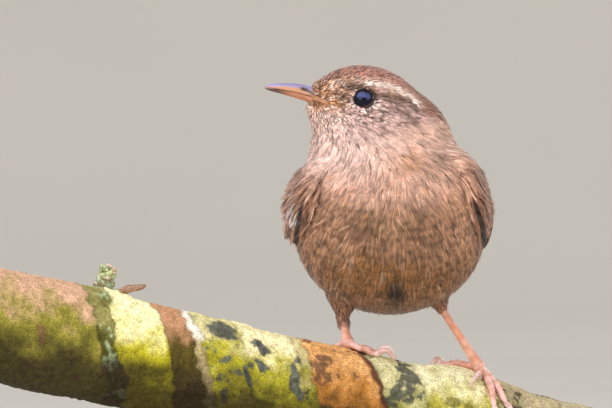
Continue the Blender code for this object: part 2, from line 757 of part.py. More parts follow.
def build_legs(collection):
    brown = material("thigh_brown", (0.30, 0.19, 0.11), 0.9)
    skin = material("leg_skin", (0.62, 0.36, 0.24), 0.5)
    for name, leg in LEGS.items():
        palm_at = build_foot(name, FEET[name], skin, collection)
        cuff, hip = np.array(leg["cuff"]), np.array(leg["hip"])
        sizes = [leg["hip_radius"] * s for s in (0.9, 1.0, 0.86, 0.55)] + [leg["cuff_radius"]]
        path = [hip + (cuff - hip) * t for t in (-0.35, 0.0, 0.35, 0.72, 1.0)]
        thigh = tube("thigh", path, sizes, 18)
        combine(thigh, [swollen_body()], "DIFFERENCE")
        finish(thigh, "thigh_" + name, brown, collection)
        down = (palm_at - cuff) / np.linalg.norm(palm_at - cuff)
        cone = (cuff - hip) / np.linalg.norm(cuff - hip)
        skew = np.linalg.norm(np.cross(cone, down)) * SHANK_RADIUS * 1.1
        top, end = cuff + down * (GAP + skew), palm_at - down * (PALM_RADIUS + GAP)
        path = [top + (end - top) * t for t in (0.0, 0.25, 0.6, 0.88, 1.0)]
        shank = tube("shank", path, [SHANK_RADIUS * s for s in (1.05, 0.95, 0.92, 1.0, 1.1)], 12)
        finish(shank, "tarsus_" + name, skin, collection)


def main():
    clear_scene()
    collection = bpy.data.collections.new("wren")
    bpy.context.scene.collection.children.link(collection)
    build_stand(collection)
    build_perch(collection)
    build_body(collection)
    build_eyes(collection)
    build_bill(collection)
    build_wings(collection)
    build_tail(collection)
    build_legs(collection)


main()
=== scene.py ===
"""The looks of the wren: skin, feathers, eyes, bill, feet, mossy branch and stand, in soft light.

Sizes are in millimetres until a mesh is made, which is in metres.  The bird's own frame has its
origin on the perch between the feet; the bird faces -Y and turns its head towards -X.
"""

import math
from functools import partial
from itertools import product

import bpy
import numpy as np
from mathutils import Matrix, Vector, kdtree


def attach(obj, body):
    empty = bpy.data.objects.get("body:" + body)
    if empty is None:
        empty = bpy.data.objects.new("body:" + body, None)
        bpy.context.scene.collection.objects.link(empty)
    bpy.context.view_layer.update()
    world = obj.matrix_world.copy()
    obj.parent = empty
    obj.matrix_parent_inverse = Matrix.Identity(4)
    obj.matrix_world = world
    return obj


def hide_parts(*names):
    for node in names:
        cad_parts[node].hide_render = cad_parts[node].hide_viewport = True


MM = 0.001
BODY = "root"
SEED = 20417

# The photo's frame: its size in pixels, the middle of the view, and the scale at the bird.
PHOTO_SIZE = (612, 408)
VIEW_MIDDLE = np.array((0.0, 0.0, 88.3))
MM_PER_PIXEL = 0.22
CAMERA_AWAY = 2500.0

STANDS_AT = np.array((19.0, 4.0, 57.0))     # the origin of the bird's own frame, on the perch
BLEND = 1.3                                 # over what distance the body's masses melt together

# Body masses: centre, radii, and the tilt about X and Y in degrees.
BODY_MASSES = {
    "belly": ((-0.5, 2.5, 25.2), (21.0, 21.0, 18.2), -12, 0),
    "breast": ((-0.6, -2.5, 34.5), (19.3, 15.0, 12.5), -15, 0),
    "rump": ((0.0, 12.0, 25.5), (14.5, 15.0, 11.0), -28, 0),
    "mantle": ((0.0, 3.5, 40.0), (14.0, 12.5, 8.0), -38, 0),
    "nape": ((0.6, -3.0, 45.2), (12.6, 9.5, 11.8), -20, 16),
    "throat": ((-8.8, -6.0, 43.5), (9.0, 8.0, 9.5), 0, 0),
}

# Head masses in the head's own frame (forward, left, up): centre and radii.
HEAD_AT = np.array((-6.0, -6.0, 53.3))
HEAD_YAW, HEAD_PITCH = math.radians(10.0), math.radians(8.0)
HEAD_MASSES = {
    "skull": ((0.0, 0.0, 0.4), (11.3, 7.6, 8.1)),
    "left_cheek": ((-3.0, 3.0, -3.0), (7.2, 5.0, 5.5)),
    "right_cheek": ((-3.0, -3.0, -3.0), (7.2, 5.0, 5.5)),
    "lores": ((8.0, 0.0, -0.4), (4.6, 3.4, 3.4)),
    "chin": ((7.0, 0.0, -4.0), (4.6, 3.4, 3.4)),
}
# The line inside the body that the skin's rings are cast from.
SPINE_FOOT = np.array((0.0, 2.5, 24.0))
SPINE_TOP = np.array((-5.5, -5.5, 51.5))

SIDES = {"left": 1.0, "right": -1.0}
EYE_RADIUS = 3.0
EYE_OPENING = 2.0
EYE_MARGIN = 0.3                # bare skin between the opening and the first feathers
OPENING_DEPTH = math.sqrt(EYE_RADIUS**2 - EYE_OPENING**2)
EYE_AT = np.array((1.5, 5.1, 0.75))
EYE_LOOKS = np.array((0.14, 1.0, 0.04))
LID_RADIUS = 0.18

# The bill from its base to its tip: how far forward, then the heights of its ridge, of the mouth and
# of its underside, and half its width.
BILL_STATIONS = (
    (8.0, 1.5, -1.3, -2.9, 2.7),
    (10.0, 1.9, -0.9, -2.3, 2.5),
    (12.4, 2.25, -0.25, -1.6, 2.0),
    (15.2, 2.35, 0.2, -1.05, 1.45),
    (18.4, 2.05, 0.36, -0.55, 1.0),
    (20.8, 1.55, 0.4, -0.25, 0.62),
    (22.1, 1.0, 0.4, 0.0, 0.3),
    (22.75, 0.56, 0.44, 0.3, 0.06),
)
BILL_BASE = np.array((10.0, 0.0, -0.4))
NOSTRIL_AT = np.array((13.6, 1.5, 1.15))
NOSTRIL_RADII = np.array((1.25, 0.6, 0.36))
NOSTRIL_LINE = ((14.6, 1.3), (13.4, 1.05), (11.2, 0.1), (9.5, -0.5))

WINGS = {
    "left": {"side": 1.0, "bend": (-13.0, 36.6), "droop": math.radians(18.0), "shell": 21.5,
             "crest": 14.8},
    "right": {"side": -1.0, "bend": (-13.0, 35.0), "droop": math.radians(12.0), "shell": 22.9,
              "crest": 12.6},
}
# The folded wing's shell: its middle (along, up), and its half lengths and half height below that.
SHELL_MIDDLE = (20.0, -2.0)
SHELL_AHEAD, SHELL_BEHIND = 38.0, 38.0
SHELL_BELOW = 17.0
WING_TUCK = 5.0                 # how far the tips are drawn in towards the tail
TUCK_LENGTH = 28.0              # over what length
# Tiers of wing feathers, lowest first: count, then the first and last vane's root and tip
# (along, up), half width, and height over the shell at root and tip.
WING_TIERS = {
    "primaries": (9, ((9.0, -5.2), (35.5, -8.6), 1.5, -0.45, -0.62),
                  ((15.0, 0.4), (48.5, -3.0), 1.8, -0.05, 0.05)),
    "secondaries": (6, ((12.0, -3.6), (33.0, -4.4), 1.8, 0.25, 0.35),
                    ((12.0, 2.6), (36.5, 0.6), 1.9, 0.4, 0.5)),
    "tertials": (3, ((12.0, 3.6), (34.0, 2.4), 2.2, 0.3, 0.7),
                 ((9.0, 5.4), (26.0, 4.8), 2.1, 0.1, 0.8)),
    "alula": (3, ((2.5, -3.4), (15.5, -8.2), 1.2, 0.4, 0.15),
              ((4.0, -2.4), (19.0, -5.4), 1.4, 0.6, 0.4)),
    "greater_coverts": (11, ((7.5, -4.6), (20.0, -4.6), 1.25, 0.3, 0.5),
                        ((7.0, 5.0), (19.0, 5.2), 1.4, 0.4, 0.7)),
}
VANE_THICKNESS = 0.22
VANE_LEAN = 0.30                # how much each vane tilts, so that one covers the next

# The tail, with its lengths from the middle feather to the outermost, and the places of roots and
# tips across it, as the first feather's and the step from one to the next.
TAIL_ROOT = np.array((0.0, 22.5, 22.5))
TAIL_COCK = math.radians(48.0)
TAIL_FEATHERS = 6
TAIL_LENGTHS = (32.0, 26.0)
TAIL_ROOTS = (0.35, 0.45)
TAIL_TIPS = (0.9, 0.91)
TAIL_HALF_WIDTH = 1.75
TAIL_LAYER = 0.34

LEGS = {
    "right": {"hip": (-10.6, 3.5, 15.0), "cuff": (-10.9, 0.6, 5.9), "hip_radius": 5.4,
              "cuff_radius": 1.75},
    "left": {"hip": (8.8, 3.2, 14.0), "cuff": (11.0, 2.9, 8.1), "hip_radius": 4.0,
             "cuff_radius": 1.5},
}
GAP = 0.3
SHANK_RADIUS = 0.85
TOE_RADIUS = 0.72
CLAW_RADIUS = 0.5
PALM_RADIUS = 1.25
# Feet, as places on the bark (along X, degrees round it from the top, towards the front): the
# palm, and the tip of each toe and of its claw.
FEET = {
    "right": {
        "palm": (6.5, 1.0),
        "toes": {
            "inner": ((12.4, 17.0), (16.6, 25.0)),
            "middle": ((13.2, 0.0), (17.6, 2.0)),
            "outer": ((12.0, -20.0), (15.8, -30.0)),
            "hind": ((4.6, -42.0), (4.0, -68.0)),
        },
    },
    "left": {
        "palm": (35.2, 6.0),
        "toes": {
            "inner": ((34.6, 27.0), (32.2, 45.0)),
            "middle": ((38.2, 62.0), (39.2, 90.0)),
            "outer": ((40.8, 54.0), (42.4, 82.0)),
            "hind": ((28.4, -16.0), (25.6, -26.0)),
        },
    },
}

BRANCH_HALF = 72.0
BRANCH_RADIUS = 11.2
BRANCH_TAPER = 0.0175
BRANCH_HEIGHT = 46.8
BRANCH_FALL = 0.222
BRANCH_YAW = 0.2126
# Rises on the branch: place along X, spread and height.
SWELLING = (32.0, 9.0, 1.8)
KNOT = (-47.0, 5.0, 0.9)
# Stubs on the knot: degrees from the top, slant along the branch, length and radius.
STUBS = ((-6.0, 0.05, 4.6, 1.9), (4.0, 2.2, 9.5, 0.75))


# Small helpers.

def srgb(red, green, blue):
    """A screen colour, 0 to 255, as linear light."""
    c = np.array((red, green, blue)) / 255.0
    return np.where(c <= 0.04045, c / 12.92, ((c + 0.055) / 1.055) ** 2.4)


def smooth(low, high, value):
    t = np.clip((value - low) / (high - low), 0.0, 1.0)
    return t * t * (3.0 - 2.0 * t)


def unit(vectors):
    return vectors / (np.linalg.norm(vectors, axis=-1, keepdims=True) + 1e-12)


def hashed(cells, seed):
    """A steady pseudo-random number, 0 to 1, for each whole-number cell."""
    n = cells[..., 0] * 73856093 ^ cells[..., 1] * 19349663 ^ cells[..., 2] * 83492791
    n = (n ^ (seed * 2654435761)) & 0x7FFFFFFF
    n = (n ^ (n >> 13)) * 1274126177 & 0x7FFFFFFF
    return ((n ^ (n >> 16)) & 0xFFFFFF) / float(0xFFFFFF)


def noise(points, size, seed=1):
    """Smooth value noise, 0 to 1, with features of about this size."""
    scaled = np.asarray(points) / size
    cell = np.floor(scaled).astype(np.int64)
    part = scaled - cell
    part = part * part * (3 - 2 * part)
    total = 0.0
    for corner in product((0, 1), repeat=3):
        share = np.where(corner, part, 1 - part)
        share = share[..., 0] * share[..., 1] * share[..., 2]
        total = total + share * hashed(cell + np.array(corner), seed)
    return total


def layered_noise(points, size, seed=1, layers=3):
    total, weight, sum_weight = 0.0, 1.0, 0.0
    for k in range(layers):
        total = total + weight * noise(points, size / 2**k, seed + 17 * k)
        sum_weight += weight
        weight *= 0.55
    return total / sum_weight


def rotation(tilt_x, tilt_y):
    a, b = math.radians(tilt_x), math.radians(tilt_y)
    about_x = np.array(((1, 0, 0), (0, math.cos(a), -math.sin(a)), (0, math.sin(a), math.cos(a))))
    about_y = np.array(((math.cos(b), 0, math.sin(b)), (0, 1, 0), (-math.sin(b), 0, math.cos(b))))
    return about_y @ about_x


def head_axes():
    """Columns: forward along the bill, to the bird's left, and up."""
    forward = np.array((
        -math.cos(HEAD_YAW) * math.cos(HEAD_PITCH),
        -math.sin(HEAD_YAW) * math.cos(HEAD_PITCH),
        math.sin(HEAD_PITCH),
    ))
    left = np.array((math.sin(HEAD_YAW), -math.cos(HEAD_YAW), 0.0))
    return np.array((forward, left, np.cross(forward, left))).T


HEAD_AXES = head_axes()


def from_head(points):
    return HEAD_AT + np.asarray(points, float) @ HEAD_AXES.T


def to_head(points):
    return (np.asarray(points) - HEAD_AT) @ HEAD_AXES


def body_field():
    masses = [
        (np.array(centre), np.array(radii), rotation(tilt_x, tilt_y))
        for centre, radii, tilt_x, tilt_y in BODY_MASSES.values()
    ]
    masses += [
        (from_head(centre), np.array(radii), HEAD_AXES) for centre, radii in HEAD_MASSES.values()
    ]
    return masses, BLEND


def thigh_field(leg):
    """Balls from the hip down to the cuff, melted together."""
    hip, cuff = np.array(leg["hip"]), np.array(leg["cuff"])
    masses = []
    for k in range(7):
        t = -0.35 + 1.3 * k / 6
        low = smooth(0.0, 0.9, t)
        radius = leg["hip_radius"] * (1 - low) + leg["cuff_radius"] * low
        masses.append((hip + (cuff - hip) * min(t, 0.93), np.full(3, radius * 0.88), np.eye(3)))
    return masses, 0.5


BODY_FIELD = body_field()


def distance(points, field=BODY_FIELD):
    """About the distance outside a soft form, and below zero within it.

    A field is its masses, their blend, and any other field that melts into it high up.
    """
    masses, blend = field[:2]
    total = 0.0
    for centre, radii, axes in masses:
        local = (points - centre) @ axes
        near = np.linalg.norm(local / radii, axis=-1) + 1e-9
        slope = np.linalg.norm(local / radii**2, axis=-1) + 1e-9
        total = total + np.exp(-np.clip(near * (near - 1.0) / slope, -60, 60) / blend)
    here = -blend * np.log(total)
    for other in field[2:]:
        melt = 0.25 + 0.75 * smooth(32.0, 37.0, points[..., 2])
        there = distance(points, other)
        least = np.minimum(here, there)
        here = least - melt * np.log(np.exp((least - here) / melt) + np.exp((least - there) / melt))
    return here


def distance_and_slope(points, field=BODY_FIELD, step=0.02):
    here = distance(points, field)
    slope = np.stack([
        distance(points + step * axis, field) - here for axis in np.eye(3)
    ], axis=-1) / step
    return here, slope


def outward(points, field=BODY_FIELD):
    return unit(distance_and_slope(points, field)[1])


def settle(points, level, field=BODY_FIELD, rounds=2):
    """Moves points to where the form's distance is the given level."""
    for _ in range(rounds):
        here, slope = distance_and_slope(points, field)
        size = (slope**2).sum(axis=-1, keepdims=True) + 1e-6
        move = slope * ((here - level)[..., None] / size)
        far = np.linalg.norm(move, axis=-1, keepdims=True)
        points = points - move * np.minimum(1.0, 1.5 / (far + 1e-9))
    return points


def cast(origins, ways, level, farthest, rounds, field=BODY_FIELD):
    """How far along each way the form's distance reaches the given level."""
    low, high = np.zeros(len(origins)), np.full(len(origins), farthest)
    for _ in range(rounds):
        middle = (low + high) / 2
        outside = distance(origins + ways * middle[:, None], field) > level
        high = np.where(outside, middle, high)
        low = np.where(outside, low, middle)
    return high


# Meshes and materials.

def make_mesh(name, points, faces, colours=None, uv=None, normals=None, in_bird=True):
    """A smooth mesh object from millimetre points.  Colours, uv and normals are per point."""
    points = np.asarray(points, float).reshape(-1, 3) + (STANDS_AT if in_bird else 0.0)
    faces = np.asarray(faces, np.int32)
    corners = faces.shape[1]
    mesh = bpy.data.meshes.new(name)
    mesh.vertices.add(len(points))
    mesh.vertices.foreach_set("co", (points * MM).astype(np.float32).ravel())
    mesh.loops.add(faces.size)
    mesh.loops.foreach_set("vertex_index", faces.ravel())
    mesh.polygons.add(len(faces))
    mesh.polygons.foreach_set("loop_start", np.arange(0, faces.size, corners, dtype=np.int32))
    mesh.update(calc_edges=True)
    mesh.shade_smooth()
    if colours is not None:
        layer = mesh.color_attributes.new(name="Markings", type="FLOAT_COLOR", domain="POINT")
        rgba = np.ones((len(points), 4), np.float32)
        rgba[:, :3] = np.asarray(colours).reshape(-1, 3)
        layer.data.foreach_set("color", rgba.ravel())
    if uv is not None:
        layer = mesh.uv_layers.new(name="OFBake")
        layer.uv.foreach_set("vector", np.asarray(uv, np.float32)[faces.ravel()].ravel())
    if normals is not None:
        mesh.normals_split_custom_set_from_vertices(np.asarray(normals, np.float32).reshape(-1, 3))
    obj = bpy.data.objects.new(name, mesh)
    bpy.context.scene.collection.objects.link(obj)
    return obj


def grid_faces(rows, columns, closed=False, offset=0):
    """Quads over a grid of points, row by row, closed round the columns if asked."""
    last = columns if closed else columns - 1
    k, j = np.meshgrid(np.arange(rows - 1), np.arange(last), indexing="ij")
    n = (j + 1) % columns
    quads = np.stack((k * columns + j, k * columns + n, (k + 1) * columns + n, (k + 1) * columns + j), -1)
    return quads.reshape(-1, 4) + offset


def every_pair(first, second):
    """Two flat arrays that hold every pair of values, row by row."""
    return (values.ravel() for values in np.meshgrid(first, second, indexing="ij"))


def spokes(turns, first, second):
    """Directions at these angles, from the first axis towards the second."""
    return np.outer(np.cos(turns), first) + np.outer(np.sin(turns), second)


def triangles(quads):
    return np.concatenate((quads[:, (0, 1, 2)], quads[:, (0, 2, 3)]))


def join(parts):
    """One set of points, faces and any further values per point, from several sets."""
    starts = np.cumsum([0] + [len(part[0]) for part in parts])
    faces = np.concatenate([part[1] + start for part, start in zip(parts, starts)])
    values = [np.concatenate(column) for k, column in enumerate(zip(*parts)) if k != 1]
    return values[0], faces, *values[1:]


def place(obj, material, slot, *replaced):
    obj.data.materials.append(material)
    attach(obj, BODY)
    if replaced:
        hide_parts(*replaced)
    return obj


class Nodes:
    """A material's node tree, with short calls for the nodes used here."""

    def __init__(self, name, roughness=0.8, sheen=0.0, coat=0.0, metallic=0.0, specular=0.5):
        self.material = bpy.data.materials.new(name)
        self.material.use_nodes = True
        self.tree = self.material.node_tree
        self.shader = self.tree.nodes["Principled BSDF"]
        self.set("Roughness", roughness)
        self.set("Sheen Weight", sheen)
        self.set("Coat Weight", coat)
        self.set("Metallic", metallic)
        self.set("Specular IOR Level", specular)

    def set(self, socket, value):
        self.shader.inputs[socket].default_value = value

    def link(self, source, socket):
        self.tree.links.new(source, self.shader.inputs[socket])

    def node(self, kind, inputs, **options):
        """A new node.  A socket in inputs is linked, and any other value is set."""
        made = self.tree.nodes.new(kind)
        for key, value in options.items():
            setattr(made, key, value)
        for socket, value in inputs.items():
            if isinstance(value, bpy.types.NodeSocket):
                self.tree.links.new(value, made.inputs[socket])
            else:
                made.inputs[socket].default_value = value
        return made

    def position(self):
        return self.node("ShaderNodeTexCoord", {}).outputs["Object"]

    def stretched(self, scale):
        inputs = {"Scale": scale, "Vector": self.position()}
        return self.node("ShaderNodeMapping", inputs).outputs["Vector"]

    def noise(self, scale, detail=3.0, vector=None, distortion=0.0):
        inputs = {"Scale": scale, "Detail": detail, "Distortion": distortion,
                  "Vector": vector or self.position()}
        return self.node("ShaderNodeTexNoise", inputs).outputs["Fac"]

    def voronoi(self, scale):
        inputs = {"Scale": scale, "Vector": self.position()}
        return self.node("ShaderNodeTexVoronoi", inputs).outputs["Distance"]

    def ramp(self, source, *stops):
        """Colours, or plain greys, at places from 0 to 1."""
        made = self.node("ShaderNodeValToRGB", {"Fac": source})
        elements = made.color_ramp.elements
        while len(elements) < len(stops):
            elements.new(0.5)
        for element, (spot, colour) in zip(elements, stops):
            element.position = spot
            element.color = (*np.broadcast_to(colour, 3), 1.0)
        return made.outputs["Color"]

    def times(self, first, second, share=1.0):
        """The first colour multiplied by the second."""
        made = self.node("ShaderNodeMix", {0: share, 6: first, 7: second},
                         data_type="RGBA", blend_type="MULTIPLY")
        return made.outputs[2]

    def marked(self, grain=None, share=1.0):
        """The mesh's own markings, multiplied by a grain if there is one."""
        markings = self.node("ShaderNodeVertexColor", {}, layer_name="Markings").outputs["Color"]
        return markings if grain is None else self.times(markings, grain, share)

    def colour(self, source):
        self.link(source, "Base Color")

    def rough(self, source, low, high):
        span = self.node("ShaderNodeMapRange", {"Value": source, "To Min": low, "To Max": high})
        self.link(span.outputs["Result"], "Roughness")

    def bump(self, source, strength, depth):
        """Relief of about this depth, in metres, over any that is there."""
        inputs = {"Strength": strength, "Distance": depth, "Height": source}
        for before in self.shader.inputs["Normal"].links:
            inputs["Normal"] = before.from_socket
        self.link(self.node("ShaderNodeBump", inputs).outputs["Normal"], "Normal")


# Markings, shared by the skin and the coat.

# The crown's colour is lighter than its own tone, partly as painted light from above.
CROWN_AND_TOP_LIGHT = srgb(190, 133, 114)
FACE = srgb(206, 166, 148)
BROW = srgb(250, 228, 214)
DARK = srgb(84, 56, 44)
LORES = srgb(206, 156, 122)
CHEEK = srgb(214, 178, 168)
CHEEK_DARK = srgb(116, 86, 76)
GAPE = srgb(172, 118, 76)
THROAT = srgb(240, 206, 192)
BREAST = srgb(211, 167, 143)
SHOULDER = srgb(190, 142, 116)
MIDDLE = srgb(167, 124, 91)
BELLY = srgb(160, 111, 64)
FLANK = srgb(184, 131, 91)
# The near-black painted shade between the thighs at the vent.
VENT_SHADE = srgb(30, 18, 8)
BACK = srgb(134, 90, 62)
RUMP = srgb(138, 88, 54)

# Lines on the side of the head, as (forward, up) in the head's frame.
BROW_LINE = ((2.4, 4.1), (0.4, 4.5), (-1.6, 4.6), (-4.7, 4.2), (-7.1, 3.4), (-9.7, 2.2),
             (-11.5, 1.6), (-13.8, 0.5))
FORE_BROW = ((9.2, 3.0), (7.2, 3.6))
CROWN_EDGE = ((-16.0, 0.6), (-11.6, 2.6), (-7.6, 4.3), (-4.0, 5.3), (0.0, 5.6), (5.0, 5.2), (9.0, 4.0),
              (12.0, 2.6))
EYE_STRIPE = ((-0.4, 1.7), (-2.9, 2.3), (-5.2, 2.5), (-7.7, 2.1), (-9.6, 1.0))
CHEEK_LINE = ((-2.0, -0.2), (-4.7, -0.1), (-7.1, -0.4), (-9.1, -1.7))
EAR_LINE = ((-6.4, -0.7), (-8.0, -2.0), (-9.8, -3.8))
LORE_LINE = ((7.4, 0.5), (4.9, 0.1))
FRONT_BROW = ((6.2, 2.8), (3.6, 3.2))
GAPE_LINE = ((12.6, -0.1), (11.1, -0.5), (9.7, -0.8), (8.4, -1.3))
# Lines drawn on the face: the line, its width, colour and strength.
FACE_LINES = (
    (EYE_STRIPE, 1.25, DARK, 0.72), (CHEEK_LINE, 0.7, CHEEK_DARK, 0.55),
    (EAR_LINE, 1.1, CHEEK_DARK, 0.7), (LORE_LINE, 0.9, DARK, 0.7),
    (FRONT_BROW, 1.0, DARK, 0.75), (FORE_BROW, 0.9, BROW, 0.3),
)
EYE_SEEN_AT = (1.9, 1.2)


def from_line(line, forward, up):
    """Distance of points to a broken line, and how far along it they are, 0 to 1."""
    best, along = np.full(forward.shape, 1e9), np.zeros(forward.shape)
    for k in range(len(line) - 1):
        (f0, u0), (f1, u1) = line[k], line[k + 1]
        df, du = f1 - f0, u1 - u0
        t = np.clip(((forward - f0) * df + (up - u0) * du) / (df * df + du * du), 0, 1)
        gap = np.hypot(forward - f0 - t * df, up - u0 - t * du)
        along = np.where(gap < best, (k + t) / (len(line) - 1), along)
        best = np.minimum(best, gap)
    return best, along


def over(base, colour, share):
    """A colour with another laid over it, by a share from 0 to 1."""
    share = np.asarray(share)[..., None]
    return base * (1 - share) + np.asarray(colour) * share


def layered(base, *coats):
    """A colour with others laid over it in turn, each given with its share."""
    for colour, share in coats:
        base = over(base, colour, share)
    return base


def uneven_shade(colour, points, size, seed=1):
    """A colour made lighter and darker in soft patches."""
    return colour * (0.8 + 0.4 * noise(points, size, seed)[:, None])


def head_share(points, low=43.5, high=51.5):
    """How far points belong to the head, 0 to 1, by their height."""
    return smooth(low, high, points[:, 2] - 0.15 * (points[:, 0] - HEAD_AT[0]))


def body_markings(points, normals):
    """Colour, and strength of the bars, for points of the body."""
    x, _, z = points.T
    uneven = layered_noise(points, 7.0, 5) - 0.5
    fine = layered_noise(points * (1.0, 1.0, 0.45), 2.2, 6) - 0.5
    front = smooth(0.45, -0.5, normals[:, 1] + 0.7 * uneven)
    low = smooth(37.0, 30.0, z + 4 * uneven + 0.10 * (x - 4.0))
    side = smooth(0.45, 0.85, np.abs(normals[:, 0])) * smooth(37.0, 25.0, z)
    # Painted light: the sides of the lower breast are made lighter, more on the bird's left.
    sides = smooth(6.0, 12.0, np.abs(x)) * smooth(19.0, 26.0, z) * smooth(39.0, 33.0, z)
    pale = smooth(38.0, 46.0, z + 4 * uneven - 0.15 * x) * (0.4 + 0.6 * smooth(3.0, -8.0, x))
    golden = smooth(4.6, 1.2, np.hypot(x - 1.2, (z - 43.0) * 1.3) + 5 * fine)
    # Painted shade: near black between the thighs at the vent, and darker low under the belly.
    vent_shade = 0.95 * smooth(4.6, 0.6, np.hypot((x - 0.9) * 1.25 + 2.5 * fine, (z - 14.0) * 0.8))
    vent_shade = np.clip(vent_shade + 0.5 * smooth(12.0, 7.0, z) * (0.5 + fine), 0, 0.95)
    colour = layered(
        BREAST,
        (MIDDLE, low),
        (BELLY, smooth(25.0, 19.0, z + 5 * uneven)),
        (FLANK, side * 0.9),
        # painted light on the sides of the lower breast
        (srgb(208, 154, 118), (0.4 + 0.4 * smooth(-2.0, 8.0, x)) * sides),
        (SHOULDER, smooth(10, 16, np.abs(x)) * smooth(31, 37, z) * 0.8),
        (THROAT, pale * 0.85),
        (srgb(198, 142, 96), 0.55 * golden),
        (VENT_SHADE, vent_shade),
        (BACK, 1 - front),
        (RUMP, (1 - front) * smooth(36, 26, z)),
        (srgb(206, 168, 140), 0.5 * smooth(0.12, 0.3, fine) * low * front),
    )
    bars = np.clip(0.9 * low * front + 0.7 * side + 0.75 * (1 - front) + 0.5 * uneven, 0.05, 1.0)
    return colour * (1 + 0.30 * uneven + 0.42 * fine)[:, None], bars


def gap_shadow(points):
    """The dark line between each wing's lower edge and the flank, 0 to 1, by place."""
    x, y, z = points.T
    dark = np.zeros(len(points))
    for way, line in WING_EDGES.items():
        gap, along = from_line(line, x * way, z)
        half = np.interp(along, (0.0, 0.35, 0.8, 1.0), (0.05, 0.36, 0.5, 0.3))
        dark = np.maximum(dark, smooth(half + 0.35, half - 0.1, gap))
    return dark * smooth(10.0, 4.0, y)


def head_markings(points):
    """Colour, and strength of the bars, for points of the head."""
    forward, left, up = to_head(points).T
    speck = noise(points, 0.75, 7)
    wave = layered_noise(points, 2.4, 9) - 0.5
    away = np.hypot(forward - EYE_SEEN_AT[0], (up - EYE_SEEN_AT[1]) * 1.15)
    rings = smooth(0.1, 0.75, np.sin(2 * math.pi * (away / 1.55 + 1.5 * wave)))
    behind = smooth(3.5, 0.5, forward) * smooth(-11.5, -9.0, forward) * smooth(-6.2, -3.8, up)
    round_eye = smooth(2.6, 4.0, away) * smooth(3.2, 1.8, up)
    gape, _ = from_line(GAPE_LINE, forward, up)
    chin = smooth(-1.8, -3.6, up) * smooth(2.0, 6.5, forward)
    peppered = smooth(-7.0, -1.0, forward) * smooth(3.6, 2.6, up) * (1 - 0.7 * chin)
    colour = layered(
        FACE,
        (CHEEK, smooth(2.2, 0.8, up) * smooth(8.5, 5.0, forward)),
        (CHEEK_DARK, 0.62 * rings * behind * round_eye),
        (LORES, 0.85 * smooth(4.5, 6.5, forward) * smooth(-3.0, -1.0, up)),
        (srgb(196, 134, 84), 0.5 * smooth(8.5, 10.5, forward) * smooth(3.4, 2.0, up)),
        (GAPE, 0.8 * smooth(2.5, 0.5, gape)),
        (THROAT, chin * 0.85),
        (DARK, 0.72 * smooth(0.62, 0.74, speck) * peppered),
        (BROW, 0.55 * smooth(0.36, 0.26, speck) * peppered),
    )
    for line, width, drawn, strength in FACE_LINES:
        gap, _ = from_line(line, forward, up + 0.8 * wave)
        colour = over(colour, drawn, strength * smooth(width, 0.35 * width, gap))
    # The crown colour laid on here carries painted light from above as well as the crown's own tone.
    crown = smooth(-0.2, 0.9, up + 0.8 * wave - np.interp(forward, *np.array(CROWN_EDGE).T))
    gap, along = from_line(BROW_LINE, forward, up + 0.5 * wave)
    colour = layered(
        colour,
        (CROWN_AND_TOP_LIGHT, crown),
        (BROW, smooth(0.66, 0.32, gap) * (1.0 - 0.4 * smooth(0.7, 1.0, along))),
        (DARK, 0.45 * smooth(3.0, 2.4, away) * smooth(0.4, 2.2, up)),
        (CROWN_AND_TOP_LIGHT * 0.6 + BACK * 0.4,
         smooth(-8.5, -11.5, forward + 3 * wave) * smooth(7.0, 4.2, np.abs(left))),
    )
    bars = 0.35 + 0.35 * crown - 0.3 * peppered
    return colour * (1 + 0.5 * wave)[:, None], np.clip(bars, 0.0, 1.0)


def markings(points, normals):
    """Base colour, and the strength of the dark bars on each feather, for points of the plumage."""
    body, body_bars = body_markings(points, normals)
    face, face_bars = head_markings(points)
    behind = smooth(0.0, 0.7, normals[:, 1]) * smooth(3.0, -4.0, to_head(points)[:, 0])
    face = over(face, CROWN_AND_TOP_LIGHT * 0.4 + BACK * 0.6, 0.9 * behind * smooth(54.0, 48.0, points[:, 2]))
    edge = points[:, 2] - 0.3 * (points[:, 0] - HEAD_AT[0]) + 3.0 * (noise(points, 3.0, 10) - 0.5)
    head = smooth(45.0, 48.5, edge)
    return over(body, face, head), body_bars * (1 - head) + face_bars * head


# The lie of the feathers.

def along_form(way, normals):
    """Directions laid down on the surface."""
    return unit(way - normals * (normals * way).sum(axis=1, keepdims=True))


def turned(way, normals, turn):
    """Directions on the surface, swung sideways by an angle."""
    return way * np.cos(turn)[:, None] + np.cross(normals, way) * np.sin(turn)[:, None]


def lie_along(way_at):
    """The lie of feathers that follow the direction way_at(points), as far as the form allows."""
    def flow(points, normals, turn):
        return turned(along_form(way_at(points), normals), normals, turn)

    return flow


def lie(points, normals, turn):
    """Backwards from the bill over the head, and down the body."""
    away = unit(points - from_head(BILL_BASE))
    x = points[:, 0]
    down = np.stack((0.024 * x, np.full(len(x), 0.55), np.full(len(x), -0.83)), axis=1)
    head = smooth(33.0, 50.0, points[:, 2] + 0.2 * x)[:, None]
    return turned(along_form(down * (1 - head) + away * head, normals), normals, turn)


def eye_frame(side):
    looks = EYE_LOOKS * (1.0, side, 1.0)
    looks = HEAD_AXES @ (looks / np.linalg.norm(looks))
    across = np.cross(looks, HEAD_AXES[:, 2])
    across = across / np.linalg.norm(across)
    return from_head(EYE_AT * (1.0, side, 1.0)), np.array((across, np.cross(looks, across), looks)).T


def part_round_eyes(points, radius):
    """Pushes points out of the eyes' openings."""
    for side in SIDES.values():
        centre, axes = eye_frame(side)
        local = (points - centre) @ axes
        flat = np.linalg.norm(local[..., :2], axis=-1)
        inside = (flat < radius) & (local[..., 2] > 0)
        push = np.where(inside, radius / (flat + 1e-9), 1.0)
        local[..., :2] *= push[..., None]
        points = centre + local @ axes.T
    return points


